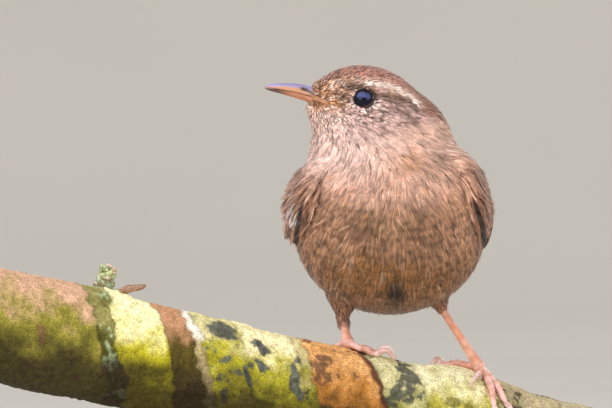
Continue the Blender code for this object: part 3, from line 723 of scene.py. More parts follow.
def bars_across(points, period, on, off, waver, size, seed):
    """Bars across the lie of the body's feathers, 0 to 1, by place."""
    along = 0.55 * points[:, 1] - 0.83 * points[:, 2]
    phase = (along + waver * noise(points, size, seed)) / period % 1.0
    return smooth(0.0, on, phase) * smooth(off, off - on, phase)


def wavy_bars(points):
    """How dark the fine broken bars across the plumage are."""
    bar = bars_across(points, 1.7, 0.22, 0.62, 1.5, 2.4, 71)
    return bar * smooth(0.34, 0.58, noise(points * (1.0, 1.0, 0.6), 1.25, 73))


def broad_bars(points):
    """How dark the bars across the back are."""
    bar = bars_across(points, 2.6, 0.2, 0.58, 2.4, 4.0, 75)
    return bar * (0.35 + 0.65 * smooth(0.3, 0.55, noise(points, 2.0, 77)))


def flecks(points):
    """Small dark spots on the belly and flanks, 0 to 1, by place."""
    return smooth(0.56, 0.68, noise(points * (1.0, 1.0, 0.7), 1.05, 83))


# What a tuft's look holds: its length, half width, depth of root, height of tip (crest), number and
# half width of blades, colour, and how strong its bars, specks, broad bars and flecks are.  Then
# come its stray from the flow, the unevenness of its blades, and whether it parts round the eyes.
PLAIN_LOOK = {"blades": 12, "blade": 0.075, "bars": 0.0, "speckle": 0.25, "broad": 0.0,
              "flecks": 0.0, "stray": 0.15, "streak": 0.15, "eyes": False}
PER_TUFT = ("length", "half_width", "depth", "crest", "blade", "bars", "speckle", "broad",
            "flecks", "streak")
FARTHEST_ROOT = 3.2             # roots that would have to move further than this are left out
TUFT_PATCH = 0.003              # size of a tuft's own patch of the unwrap


def tuft_line(rng, roots, start, field, flow, look, steps):
    """The middle lines of tufts, with the normals and directions along them."""
    turn = rng.normal(0.0, look["stray"], len(start))
    spine, normals, ways = [start], [outward(start, field)], []
    for k in range(1, steps + 1):
        ways.append(flow(spine[-1], normals[-1], turn))
        rise = 1.0 - (1.0 - k / steps) ** 2.2
        level = -look["depth"] + (look["crest"] + look["depth"]) * rise
        point = spine[-1] + ways[-1] * (look["length"] / steps)[:, None]
        point = settle(point, level, field, 1)
        if look["eyes"]:
            point = part_round_eyes(point, EYE_OPENING + EYE_MARGIN)
        spine.append(point)
        normals.append(outward(point, field))
    return [np.stack(a, axis=1) for a in ([roots] + spine[1:], normals, ways + ways[-1:])]


def both_edges(values):
    """Values for a blade's two edges, row by row, and one for its tip."""
    return np.concatenate((np.repeat(values[:, :, :-1], 2, axis=2), values[:, :, -1:]), axis=2)


def tuft_blades(rng, line, look, lateral, t, steps):
    """The blades' points and their soft normals, from the tufts' middle lines."""
    spine, normals, ways = line
    at = np.clip(t * steps, 0, steps - 1e-4)
    low = np.floor(at).astype(int)
    share = (at - low)[..., None]
    pick = np.arange(len(t))[:, None, None]
    middle = spine[pick, low] * (1 - share) + spine[pick, low + 1] * share
    normal = unit(normals[pick, low] * (1 - share) + normals[pick, low + 1] * share)
    way = ways[pick, low]
    side = np.cross(normal, way)
    half_width = look["half_width"][:, None, None]
    droop = -0.28 * half_width * lateral**2 * t + rng.normal(0.0, 0.05, t.shape[:2])[..., None] * t
    middle = middle + side * (half_width * lateral * t**0.62)[..., None] + normal * droop[..., None]
    row = np.linspace(0, 1, t.shape[2])
    half = look["blade"][:, None, None] * np.interp(row, (0.0, 0.33, 0.67, 1.0), (0.75, 1.0, 0.8, 0.0))
    points = both_edges(middle)
    points[:, :, 0:-1:2] -= (side * half[..., None])[:, :, :-1]
    points[:, :, 1:-1:2] += (side * half[..., None])[:, :, :-1]
    soft = unit(normal + 0.55 * side * lateral[..., None] - 0.12 * way)
    return points, both_edges(soft)


def tuft_shade(rng, flat, along, look):
    """How light each point of the blades is, from streaks, bars, specks and shadow."""
    def laid(key, dark):
        return look[key][:, None, None] * dark(flat).reshape(along.shape)

    bars = look["bars"][:, None, None]
    streak = 1 + look["streak"][:, None] * rng.normal(0, 1, along.shape[:2])
    shade = (1.0 + 0.16 * (along - 0.5)) * streak[..., None]
    shade = shade * (1 + rng.normal(0, 0.11, len(along)))[:, None, None]
    band = smooth(0.50, 0.62, along) * smooth(0.88, 0.76, along)
    shade = shade * (1 - 0.34 * bars * band) * (1 - 0.25 * smooth(0.45, 0.0, along))
    shade = shade * (1 + 0.2 * bars * smooth(0.86, 0.96, along)) * (1 - 0.5 * laid("bars", wavy_bars))
    shade = shade * (1 + laid("speckle", lambda points: noise(points, 0.42, 79) - 0.5))
    shade = shade * (1 - 0.94 * gap_shadow(flat).reshape(along.shape))
    return shade * (1 - laid("broad", broad_bars)) * (1 - laid("flecks", flecks))


def tufts(rng, roots, uv, field, flow, look, steps=5, rows=4):
    """Feathers as fans of thin blades on a form: points, faces, colours, uv and normals.

    look holds what is said at PLAIN_LOOK, for all tufts or for each one.
    """
    look = PLAIN_LOOK | look
    look |= {key: np.full(len(roots), look[key], float) for key in PER_TUFT}
    start = settle(roots, -look["depth"], field)
    near = np.linalg.norm(start - roots, axis=1) < FARTHEST_ROOT
    look = {key: value[near] if isinstance(value, np.ndarray) else value
            for key, value in look.items()}
    line = tuft_line(rng, roots[near], start[near], field, flow, look, steps)

    count, blades = near.sum(), look["blades"]
    lateral = np.linspace(-1, 1, blades)[None, :] + rng.uniform(-0.09, 0.09, (count, blades))
    first = rng.uniform(0.0, 0.3, (count, blades))
    last = 1.0 - 0.28 * lateral**2 - rng.uniform(0.0, 0.16, (count, blades))
    t = first[..., None] + (last - first)[..., None] * np.linspace(0, 1, rows)
    points, normals = tuft_blades(rng, line, look, lateral[..., None], t, steps)
    along = both_edges(t)
    shade = tuft_shade(rng, points.reshape(-1, 3), along, look)
    colours = look["colour"][:, None, None, :] * np.clip(shade, 0.12, 1.7)[..., None]

    across = np.repeat(lateral[..., None], along.shape[2], axis=2)
    patch = np.stack((0.45 * across, along - 0.5), axis=-1) * TUFT_PATCH
    coords = uv[near][:, None, None] + patch
    strip = []
    for k in range(0, 2 * (rows - 2), 2):
        strip += [(k, k + 3, k + 1), (k, k + 2, k + 3)]
    strip.append((2 * rows - 4, 2 * rows - 2, 2 * rows - 3))
    corners = np.arange(count * blades)[:, None, None] * along.shape[2]
    faces = (corners + np.array(strip)[None]).reshape(-1, 3)
    return (points.reshape(-1, 3), faces, colours.reshape(-1, 3), coords.reshape(-1, 2),
            normals.reshape(-1, 3))


def tree_of(points):
    """Finds the nearest of these points."""
    tree = kdtree.KDTree(len(points))
    for k, point in enumerate(points):
        tree.insert(point, k)
    tree.balance()
    return tree


class Coat:
    """The feathers of one form: their random draws, material and the unwrap of the skin below."""

    def __init__(self, rng, material, points, uv):
        self.rng, self.material = rng, material
        self.uv, self.tree = uv, tree_of(points)

    def grow(self, name, roots, field, flow, look, slot="plumage_brown", uv=None, **detail):
        """One piece of coat, mapped where the skin is nearest unless its own uv is given."""
        if uv is None:
            uv = self.uv[[self.tree.find(root)[1] for root in roots]]
        made = tufts(self.rng, roots, uv, field, flow, look, **detail)
        place(make_mesh(name, *made), self.material, slot)


def scatter(rng, points, uv, faces, candidates, spacing):
    """Spread points on a mesh of triangles, each as far from the others as spacing says."""
    a, b, c = (points[faces[:, k]] for k in range(3))
    area = np.linalg.norm(np.cross(b - a, c - a), axis=1)
    chosen = rng.choice(len(faces), candidates, p=area / area.sum())
    r1, r2 = np.sqrt(rng.uniform(size=candidates)), rng.uniform(size=candidates)
    weights = np.stack((1 - r1, r1 * (1 - r2), r1 * r2), axis=1)[..., None]
    spots = (points[faces[chosen]] * weights).sum(axis=1)
    spot_uv = (uv[faces[chosen]] * weights).sum(axis=1)
    radii = np.broadcast_to(spacing(spots) if callable(spacing) else spacing, candidates)
    tree = tree_of(spots)
    free = np.ones(candidates, bool)
    kept = []
    for k in range(candidates):
        if free[k]:
            kept.append(k)
            for _, other, _ in tree.find_range(spots[k], radii[k]):
                free[other] = False
    return spots[kept], spot_uv[kept]


# The folded wings' soft fronts, and how the feathers of the shoulders lie over them.

def on_wing(wing, along, up, lift):
    """Points of the folded wing: back from its bend, up across it, and out from its shell."""
    droop, shell = wing["droop"], wing["shell"]
    y = wing["bend"][0] + along * math.cos(droop) + up * math.sin(droop)
    z = wing["bend"][1] - along * math.sin(droop) + up * math.cos(droop)
    length = np.where(along > SHELL_MIDDLE[0], SHELL_BEHIND, SHELL_AHEAD)
    height = np.where(up > SHELL_MIDDLE[1], wing["crest"], SHELL_BELOW)
    a, b = (along - SHELL_MIDDLE[0]) / length, (up - SHELL_MIDDLE[1]) / height
    x = shell * np.sqrt(np.maximum(0.05, 1.0 - a * a - b * b))
    slope = shell**2 / np.maximum(x, 8.0)
    tuck = np.maximum(0.0, (along - SHELL_MIDDLE[0]) / TUCK_LENGTH)
    lean_a = slope * a / length + 2 * WING_TUCK * tuck / TUCK_LENGTH
    lean_b = slope * b / height
    x = x - WING_TUCK * tuck * tuck
    normal = unit(np.stack((np.ones_like(x), lean_a * math.cos(droop) + lean_b * math.sin(droop),
                            -lean_a * math.sin(droop) + lean_b * math.cos(droop)), axis=-1))
    points = np.stack((x, y, z), axis=-1) + np.asarray(lift)[..., None] * normal
    return points * (wing["side"], 1.0, 1.0)


# The folded wing's own soft form: back from the bend, up, and its length, height and depth.
WING_BALLS = (
    (0.7, 1.0, 1.9, 1.7, 1.7),
    (3.0, 3.0, 2.8, 2.4, 2.0),
    (3.2, -1.4, 3.0, 3.0, 2.0),
    (7.5, 4.0, 4.0, 2.8, 2.0),
    (7.5, -1.8, 4.4, 3.6, 2.1),
    (13.0, 4.4, 4.8, 3.0, 1.9),
    (13.0, -1.6, 5.0, 3.9, 2.1),
    (19.0, 3.4, 4.8, 2.6, 1.6),
    (19.0, -1.6, 5.0, 3.4, 1.7),
)
# Lower balls, over the roots of the wing's lowest feathers.
LOWER_BALLS = (
    (5.0, -4.4, 3.4, 2.6, 1.8),
    (9.5, -5.6, 4.0, 2.8, 1.9),
    (14.0, -6.0, 3.8, 2.4, 1.7),
)
# The loose feathers of the breast's sides, which lie over the inner part of each wing's front.
BREAST_PAD = ((11.8, -9.3, 32.6), (4.6, 5.0, 7.4))
# Where each wing's lower edge hangs over the flank, as (out to the side, up).
WING_EDGES = {1.0: ((17.6, 32.4), (18.2, 31.0), (19.8, 26.5), (20.7, 21.3)),
              -1.0: ((19.4, 32.2), (20.1, 30.2), (20.8, 26.5), (21.4, 22.5))}


def padded_field():
    masses, blend = BODY_FIELD
    pads = [
        (np.array((BREAST_PAD[0][0] * side, *BREAST_PAD[0][1:])), np.array(BREAST_PAD[1]), np.eye(3))
        for side in (1.0, -1.0)
    ]
    return masses + pads, blend


PADDED_FIELD = padded_field()


def wing_axes(wing):
    """Rows: out from the body, back along the folded wing, and up across it."""
    cos, sin = math.cos(wing["droop"]), math.sin(wing["droop"])
    return np.array(((wing["side"], 0.0, 0.0), (0.0, cos, -sin), (0.0, sin, cos)))


def wing_balls(wing, balls, lift_of):
    """Soft masses just under the wing's surface."""
    axes = wing_axes(wing).T
    return [(on_wing(wing, along, up, lift_of(along) - depth), np.array((depth, length, height)), axes)
            for along, up, length, height, depth in balls]


def cloak_field(wing):
    """The wing's front, melted into the body at the shoulder, for the feathers that lie over both."""
    balls = wing_balls(wing, WING_BALLS, lambda along: 0.1 + 0.35 * smooth(3.5, 12.0, along))
    balls += wing_balls(wing, LOWER_BALLS, lambda along: 0.75)
    return (*PADDED_FIELD, (balls, 0.5))


# Low balls over the wing's upper edge, under the feathers that fall from the back over it.
EDGE_BALLS = (
    (2.0, 4.6, 3.0, 2.6, 2.0),
    (7.0, 6.0, 4.2, 2.9, 2.2),
    (13.0, 6.6, 4.6, 2.9, 2.2),
    (19.0, 6.2, 4.6, 2.7, 2.0),
    (24.0, 5.2, 3.6, 2.2, 1.7),
)


# Where the lock of feathers over the front of the left shoulder is rooted, and how widely.
LOCK_AT, LOCK_SPREAD = np.array((14.0, -11.4, 43.2)), np.array((2.6, 2.6, 2.0))


def scapular_field(wing):
    """The back melted over the wing's upper edge."""
    masses, blend, (balls, soft) = cloak_field(wing)
    balls += wing_balls(wing, EDGE_BALLS, lambda along: 0.15 + 1.0 * smooth(3.0, 12.0, along))
    return masses, blend, (balls, soft)


def wing_place(wing, points):
    """How far back from the wing's bend points are, and how far up."""
    _, run, high = wing_axes(wing)
    rest = points - on_wing(wing, 0.0, 0.0, 0.0)
    return rest @ run, rest @ high


def scapular_lie(wing):
    """From the back outwards over the wing's upper edge, and backwards along it."""
    out, run, high = wing_axes(wing)

    def flow(points, normals, turn):
        behind, up = wing_place(wing, points)
        over_edge = smooth(12.0, 6.0, up)[:, None]
        lean = run - 0.55 * high * over_edge + 0.25 * out * (1 - over_edge)
        near = (smooth(16.0, 10.0, up) * smooth(-7.0, 2.0, behind))[:, None]
        still = lie(points, normals, np.zeros(len(points)))
        return turned(unit(still * (1 - near) + along_form(lean, normals) * near), normals, turn)

    return flow


def shoulder_lie(wing, field):
    """From the neck over the wing's bend, then back along the wing."""
    out, run, _ = wing_axes(wing)
    over_bend = 0.55 * out + np.array((0.0, 0.22, -0.80))
    along = run + 0.15 * out + np.array((0.0, 0.0, -0.25))

    def flow(points, normals, turn):
        raised = smooth(0.1, 1.6, distance(points, PADDED_FIELD) - distance(points, field))[:, None]
        behind, up = wing_place(wing, points)
        back = (smooth(1.0, 10.0, behind) * (1 - 0.6 * smooth(-1.5, -5.0, up)))[:, None]
        way = along_form(over_bend * (1 - back) + along * back, normals)
        still = lie(points, normals, np.zeros(len(points)))
        return turned(unit(still * (1 - raised) + way * raised), normals, turn)

    return flow


# Skin and coat of the body.

HEAD_LINE = 47.5                # about where the head's small feathers begin
THIGH_DEPTH = 0.5               # how deep the thigh's skin lies under the tips


def unwrap_rings(sectors, under, along, over_top):
    """The skin's rings from under the belly to over the crown, as a grid with its unwrap."""
    spine = unit(SPINE_TOP - SPINE_FOOT)
    across = unit(np.cross((0.0, 1.0, 0.0), spine))
    turns = np.linspace(0, 2 * math.pi, sectors + 1)
    flat = spokes(turns, across, np.cross(spine, across))
    stations = [(SPINE_FOOT, -89.5 + 89.5 * i / under) for i in range(under)]
    stations += [(SPINE_FOOT + (SPINE_TOP - SPINE_FOOT) * i / along, 0) for i in range(along)]
    stations += [(SPINE_TOP, 89.5 * i / over_top) for i in range(over_top + 1)]
    lifts = np.radians([lift for _, lift in stations])
    directions = np.concatenate([flat * math.cos(lift) + spine * math.sin(lift) for lift in lifts])
    origins = np.repeat([origin for origin, _ in stations], sectors + 1, axis=0)
    points = origins + directions * cast(origins, directions, 0.0, 45.0, 24)[:, None]
    heights = 0.08 + 0.9 * np.arange(len(stations)) / (len(stations) - 1)
    height, turn = every_pair(heights, 0.01 + 0.98 * turns / (2 * math.pi))
    points = settle(points, -coat_depth(points))
    return points, np.stack((turn, height), axis=1), grid_faces(len(stations), sectors + 1)


def coat_depth(points):
    """How deep the skin lies under the tips: shallow on the face, deeper on the body."""
    return 0.45 + 0.65 * smooth(51.0, 42.0, points[:, 2] - 0.2 * (points[:, 0] - HEAD_AT[0]))


def thigh_skin(leg, number):
    """The feathered thigh's skin, as a short sleeve, with its part of the unwrap."""
    hip, cuff = np.array(leg["hip"]), np.array(leg["cuff"])
    axis = unit(cuff - hip)
    side = unit(np.cross(axis, (0.0, 1.0, 0.2)))
    rows, sectors = 26, 40
    turns = np.linspace(0, 2 * math.pi, sectors + 1)
    ring = spokes(turns, side, np.cross(axis, side))
    points = []
    for t in -0.2 + 1.2 * np.arange(rows) / (rows - 1):
        low = max(0, t)
        radius = 0.9 * (leg["hip_radius"] * (1 - min(1, low)) + leg["cuff_radius"] * low)
        points.append(hip + (cuff - hip) * t + radius * ring)
    height, turn = every_pair(np.arange(rows) / (rows - 1), number + turns / (2 * math.pi))
    uv = np.stack((0.02 + 0.45 * turn, 0.005 + 0.06 * height), axis=1)
    points = settle(np.concatenate(points), -THIGH_DEPTH, thigh_field(leg))
    return points, grid_faces(rows, sectors + 1), uv


def body_spacing(spots):
    head = head_share(spots, 44.0, 52.0)
    face = head * smooth(-8.0, 4.0, to_head(spots)[:, 0])
    return 0.66 * (1 - head) + 0.48 * head - 0.08 * face


def body_look(rng, roots, normals):
    """The looks of the feathers: small and dense on the face, long and loose on the belly."""
    forward, _, up = to_head(roots).T
    count, x, z = len(roots), roots[:, 0], roots[:, 2]
    head = head_share(roots)
    face = head * smooth(-9.0, 7.0, forward)
    length = (5.2 * (1 - head) + 2.5 * head - 1.25 * face) * (1 + 0.18 * smooth(30, 14, z))
    length = length * rng.uniform(0.85, 1.15, count)
    colour, bars = markings(settle(roots, 0.0), normals)
    half_width = (0.95 * (1 - head) + 0.46 * head - 0.16 * face) * rng.uniform(0.8, 1.2, count)
    crest = rng.uniform(-0.18, 0.16, count) * (1 - 0.55 * head)
    uneven = (0.06 + 0.16 * face) * np.clip(rng.normal(0, 1, count), -2.0, 1.0)
    dark_spots = 0.14 + 0.12 * smooth(36.0, 27.0, z) + 0.2 * smooth(7.0, 12.0, np.abs(x))
    return {
        "length": length, "half_width": half_width, "depth": coat_depth(roots) + 0.05,
        "crest": crest, "blade": 0.075 * (1 - head) + 0.05 * head,
        "colour": colour * (1 + uneven)[:, None], "bars": bars,
        "speckle": 0.35 + 0.75 * face * (1 - 0.6 * smooth(-1.5, -4.0, up)),
        "broad": 0.5 * smooth(-0.1, 0.5, normals[:, 1]) * smooth(49.0, 44.0, z),
        "flecks": dark_spots * (1 - head) * smooth(0.4, -0.1, normals[:, 1]),
        "stray": 0.13, "streak": 0.24 - 0.12 * smooth(40.0, 45.0, z) * (1 - face), "eyes": True,
    }


def clear_of(spots, uv):
    """Leaves out roots inside the eyes' openings, under the bill's base and on the gape."""
    keep = np.ones(len(spots), bool)
    for side in SIDES.values():
        centre, axes = eye_frame(side)
        local = (spots - centre) @ axes
        flat = np.linalg.norm(local[:, :2], axis=1)
        keep &= ~((flat < EYE_OPENING + EYE_MARGIN) & (local[:, 2] > 0))
    forward, left, up = to_head(spots).T
    stations = np.array(BILL_STATIONS)
    culmen, lower, half_width = (np.interp(forward, stations[:, 0], stations[:, k]) for k in (1, 3, 4))
    middle = (culmen + lower) / 2
    inside = np.hypot(left / (half_width + 0.1), (up - middle) / ((culmen - lower) / 2 + 0.1)) < 1
    keep &= ~(inside & (forward > 9.0))
    gap, _ = from_line(GAPE_LINE, forward, up)
    keep &= ~((gap < 0.45) & (forward > 8.9))
    return spots[keep], uv[keep]


def coat_regions(roots):
    """The name of the coat piece that each root belongs to."""
    forward = to_head(roots)[:, 0]
    z, back = roots[:, 2], roots[:, 1] > 3.0
    names = np.full(len(roots), "coat_breast", dtype=object)
    names[z < 27.0] = "coat_belly"
    names[back & (z >= 24.0)] = "coat_back"
    names[back & (z < 24.0)] = "coat_rump"
    names[z > 40.0] = "coat_neck"
    crown = z > HEAD_LINE + 0.15 * (roots[:, 0] - HEAD_AT[0])
    names[crown] = "coat_crown"
    names[crown & (forward > -4.5)] = "coat_face"
    return names


def plumage_material(name):
    """Feather colour with a fine, uneven grain and a soft sheen."""
    look = Nodes(name, roughness=0.72, sheen=0.25, specular=0.25)
    look.colour(look.marked(look.ramp(look.noise(2600.0, 2.0), (0.3, 0.82), (0.7, 1.16))))
    look.set("Sheen Roughness", 0.5)
    return look.material


def build_scapulars(coat, name, wing):
    """Soft feathers over the wing's upper edge, rooted on it, between the back's and the wing's own."""
    rng, step = coat.rng, 0.64
    up, along = every_pair(np.arange(0.6, 11.0, step), np.arange(-6.0, 24.0, step))
    along, up = (a + rng.uniform(-0.4, 0.4, len(a)) * step for a in (along, up))
    keep = up > 2.6 + 0.2 * along - 0.7 * np.minimum(along, 0.0)
    keep &= up < 6.5 + 0.75 * np.maximum(along, 0.0)
    field = scapular_field(wing)
    roots = settle(on_wing(wing, along, up, 0.5), -0.6, field)
    keep &= roots[:, 2] < 44.0
    roots, along = roots[keep], along[keep]
    brown = over(srgb(160, 112, 84), srgb(132, 90, 62), smooth(2.0, 12.0, along))
    base = over(markings(roots, outward(roots))[0], brown, smooth(3.0, 9.0, along))
    coat.grow("coat_wing_edge_" + name, roots, field, scapular_lie(wing), {
        "length": rng.uniform(3.6, 5.0, len(roots)),
        "half_width": rng.uniform(0.6, 0.95, len(roots)),
        "depth": 0.6,
        "crest": rng.uniform(0.05, 0.4, len(roots)) * smooth(-6.0, -1.0, along),
        "colour": uneven_shade(base, roots, 2.2, 15),
        "bars": 0.5, "broad": 0.5 * smooth(1.0, 8.0, along), "streak": 0.26,
    }, rows=6)


def build_lock(coat, wing):
    """Longer feathers that fall from the neck's side over the front of the left shoulder."""
    rng = coat.rng
    field = scapular_field(wing)
    roots = settle(LOCK_AT + rng.uniform(-1.0, 1.0, (130, 3)) * LOCK_SPREAD, -0.5, field, 4)
    run = wing_axes(wing)[1]

    def flow(points, normals, turn):
        back = 0.6 * smooth(LOCK_AT[2] - 0.5, LOCK_AT[2] - 4.5, points[:, 2])[:, None]
        return along_form(lie(points, normals, turn) * (1 - back) + run * back, normals)

    colour, bars = markings(settle(roots, 0.0), outward(roots))
    coat.grow("coat_lock_left", roots, field, flow, {
        "length": rng.uniform(4.4, 6.4, len(roots)),
        "half_width": rng.uniform(0.6, 0.95, len(roots)),
        "depth": 0.6,
        "crest": rng.uniform(0.15, 0.5, len(roots)),
        "colour": uneven_shade(colour, roots, 2.2, 15), "bars": bars, "streak": 0.22,
    }, rows=6)


def build_skin(parts, material):
    """The skin under the feathers, darkened as painted shade under the coat and for its dark down, darkest
    round the eyes.
    """
    points, quads, uv = join(parts)
    colour, _ = markings(settle(points, 0.0), outward(points))
    colour[len(parts[0][0]):] = srgb(120, 82, 56)
    for side in SIDES.values():
        centre, axes = eye_frame(side)
        local = (points - centre) @ axes
        near = smooth(3.6, 2.9, np.linalg.norm(local[:, :2], axis=1)) * (local[:, 2] > 0)
        colour = over(colour, srgb(70, 48, 38), near)
    # The 0.62 darkening is painted shade under the coat, along with the down's own dark grey.
    skin = make_mesh("skin", points, quads, colour * 0.62, uv)
    place(skin, material, "plumage_brown", "head", "neck", "torso", "thigh_left", "thigh_right")


def shoulder_regions(regions, spots, name, wing):
    """Names the roots about a folded wing, and returns the form and the lie of their feathers."""
    shoulder, scapular = "coat_shoulder_" + name, "coat_scapular_" + name
    x, y, z = spots.T
    field = cloak_field(wing)
    raised = distance(spots, PADDED_FIELD) - distance(spots, field)
    above = (z > wing["bend"][1] - 3.5) & (y < 6.0)
    regions[(raised > 0.06) & above] = shoulder
    regions[(raised > 1.6) & ~above] = "buried"
    back, up = wing_place(wing, spots)
    edge = (up > 3.0 + 3.0 * smooth(-2.0, 6.0, back)) & (up < 12.0) & (back > -5.0) & (back < 25.0)
    edge &= (x * wing["side"] > 4.0) & (z < 46.0) & (y > -9.0)
    regions[edge] = scapular
    return {shoulder: (field, shoulder_lie(wing, field)),
            scapular: (scapular_field(wing), scapular_lie(wing))}


def build_plumage():
    """The skin of head, body and thighs, and all the feathers that stand on it."""
    rng = np.random.default_rng(SEED)
    material = plumage_material("plumage")
    points, uv, quads = unwrap_rings(150, 34, 44, 34)
    sleeves = [thigh_skin(leg, number) for number, leg in enumerate(LEGS.values())]
    build_skin([(points, quads, uv), *sleeves], material)
    spots, spot_uv = scatter(rng, points, uv, triangles(quads), 220000, body_spacing)
    spots, spot_uv = clear_of(spots, spot_uv)
    regions = coat_regions(spots)
    forms = {}
    for name, wing in WINGS.items():
        forms |= shoulder_regions(regions, spots, name, wing)

    coat = Coat(rng, material, points, uv)
    for name in sorted(set(regions) - {"buried"}):
        chosen = regions == name
        look = body_look(rng, spots[chosen], outward(spots[chosen]))
        if name in forms:
            look["length"] = look["length"] * 1.25
            look["crest"] = look["crest"] + 0.25
            look["bars"] = look["bars"] + (0.2 if "scapular" in name else 0.0)
        slot = "plumage_buff" if name in ("coat_breast", "coat_neck") else "plumage_brown"
        rows = 4 if name in ("coat_face", "coat_crown") else 6
        field, flow = forms.get(name, (PADDED_FIELD, lie))
        coat.grow(name, spots[chosen], field, flow, look, slot, spot_uv[chosen], rows=rows)
    build_thigh_coat(coat, sleeves)
    build_chin_tuft(coat)
    build_frontal_tufts(coat)
    build_eye_rings(coat)
    build_loose_hairs(coat, spots[regions != "buried"])
    for name, wing in WINGS.items():
        build_scapulars(coat, name, wing)
    build_lock(coat, WINGS["left"])
    build_cuffs(coat)


def build_loose_hairs(coat, spots):
    """Single fine plumes that stand a little off the coat, and a few rusty ones on the breast."""
    rng = coat.rng
    roots = spots[rng.choice(len(spots), 900, replace=False)]
    roots = roots[(roots[:, 1] < 3.0) | (rng.uniform(size=len(roots)) < 0.35)]
    rusty = rng.uniform(size=len(roots)) < 0.12
    rusty &= (roots[:, 1] < -6.0) & (roots[:, 2] > 22.0) & (roots[:, 2] < 40.0)
    colour = layered(markings(roots, outward(roots))[0],
                     (srgb(240, 216, 196), 0.12), (srgb(222, 150, 74), 0.85 * rusty))
    head = head_share(roots)
    coat.grow("coat_loose", roots, PADDED_FIELD, lie, {
        "length": (5.0 - 3.2 * head) * rng.uniform(0.8, 1.3, len(roots)),
        "half_width": 0.35 - 0.2 * head, "depth": coat_depth(roots),
        "crest": rng.uniform(0.15, 0.75, len(roots)) * (1 - 0.7 * head),
        "blades": 3, "blade": 0.055 - 0.015 * head,
        "colour": colour * (1 - 0.3 * smooth(-2.0, 4.0, roots[:, 1]))[:, None],
        "stray": 0.3, "eyes": True,
    }, "plumage_buff")


def build_eye_rings(coat):
    """Tiny feathers standing round each eye, pale below and dark above."""
    rng, count = coat.rng, 54
    for name, side in SIDES.items():
        centre, axes = eye_frame(side)
        turns = 2 * math.pi * (np.arange(count) + 0.3 * rng.uniform(-1, 1, count)) / count
        way = spokes(turns, axes[:, 0], axes[:, 1])
        roots = centre + way * (EYE_OPENING + EYE_MARGIN) + axes[:, 2] * (OPENING_DEPTH - 0.05)
        roots = settle(roots, -0.32)
        pale = smooth(0.2, -0.2, way @ HEAD_AXES[:, 2]) * rng.uniform(0.7, 1.0, count)
        outwards = lie_along(lambda points, centre=centre: unit(points - centre))
        coat.grow("coat_eye_ring_" + name, roots, BODY_FIELD, outwards, {
            "length": rng.uniform(0.6, 1.0, count), "half_width": 0.045, "depth": 0.30,
            "crest": 0.12, "blades": 3, "blade": 0.038,
            "colour": over(srgb(96, 64, 48), srgb(255, 246, 238), pale), "streak": 0.1,
        }, "plumage_buff", steps=4)


def build_chin_tuft(coat):
    """The pale tuft that reaches forward under the bill."""
    rng, count = coat.rng, 38
    left = rng.uniform(-1.9, 1.9, count)
    ahead, below = rng.uniform(8.8, 10.6, count), -3.3 - 0.35 * rng.uniform(0, 1, count)
    roots = settle(from_head(np.stack((ahead, left, below), axis=1)), -0.3)
    way = HEAD_AXES @ unit(np.array((1.0, 0.0, 0.30)))

    def forward(_, normals, turn):
        return way * np.cos(turn)[:, None] + unit(np.cross(normals, way)) * np.sin(turn)[:, None]

    field = ([(from_head((9.5, 0.0, -1.7)), np.array((4.6, 2.6, 2.2)), HEAD_AXES)], 1.0)
    shade = over(srgb(196, 140, 104), srgb(228, 208, 192), smooth(9.2, 10.4, to_head(roots)[:, 0]))
    coat.grow("coat_chin", roots, field, forward, {
        "length": rng.uniform(1.3, 2.3, count), "half_width": 0.4, "depth": 0.1,
        "crest": rng.uniform(0.0, 0.3, count), "blades": 9, "blade": 0.05, "colour": shade,
        "stray": 0.2,
    }, "plumage_buff")


def build_frontal_tufts(coat):
    """Tiny feathers that start on the bill's base and lie back over the forehead."""
    rng, count = coat.rng, 110
    forward = rng.uniform(10.6, 12.5, count)
    turn = rng.uniform(-1.15, 1.15, count)
    stations = np.array(BILL_STATIONS)
    culmen, half_width = (np.interp(forward, stations[:, 0], stations[:, k]) for k in (1, 4))
    middle = 0.2
    up = middle + (culmen - middle) * np.cos(turn)
    roots = from_head(np.stack((forward, half_width * np.sin(turn), up), axis=1))
    coat.grow("coat_frontal", roots, BODY_FIELD, lie, {
        "length": rng.uniform(1.0, 1.7, count), "half_width": 0.3, "depth": 0.05,
        "crest": rng.uniform(0.1, 0.3, count), "blades": 9, "blade": 0.05,
        "colour": markings(roots, outward(roots))[0] * 0.92, "stray": 0.2, "streak": 0.2,
    })


def build_thigh_coat(coat, sleeves):
    for (name, leg), (points, quads, uv) in zip(LEGS.items(), sleeves):
        spots, spot_uv = scatter(coat.rng, points, uv, triangles(quads), 9000, 0.6)
        hip = np.array(leg["hip"])
        axis = unit(leg["cuff"] - hip)
        share = (spots - hip) @ axis / np.linalg.norm(leg["cuff"] - hip)
        keep = share < 0.92
        spots, low = spots[keep], smooth(0.2, 1.0, share[keep])
        length = leg["hip_radius"] / 5.4 * (2.6 - 1.3 * low)
        coat.grow("coat_thigh_" + name, spots, thigh_field(leg), lie_along(lambda _, axis=axis: axis), {
            "length": length * coat.rng.uniform(0.85, 1.15, len(spots)),
            "half_width": 0.75 - 0.35 * low, "depth": 0.5,
            "crest": coat.rng.uniform(-0.1, 0.15, len(spots)), "blades": 9,
            "colour": uneven_shade(srgb(150, 108, 80), spots, 2.0), "bars": 0.25,
        }, uv=spot_uv[keep])


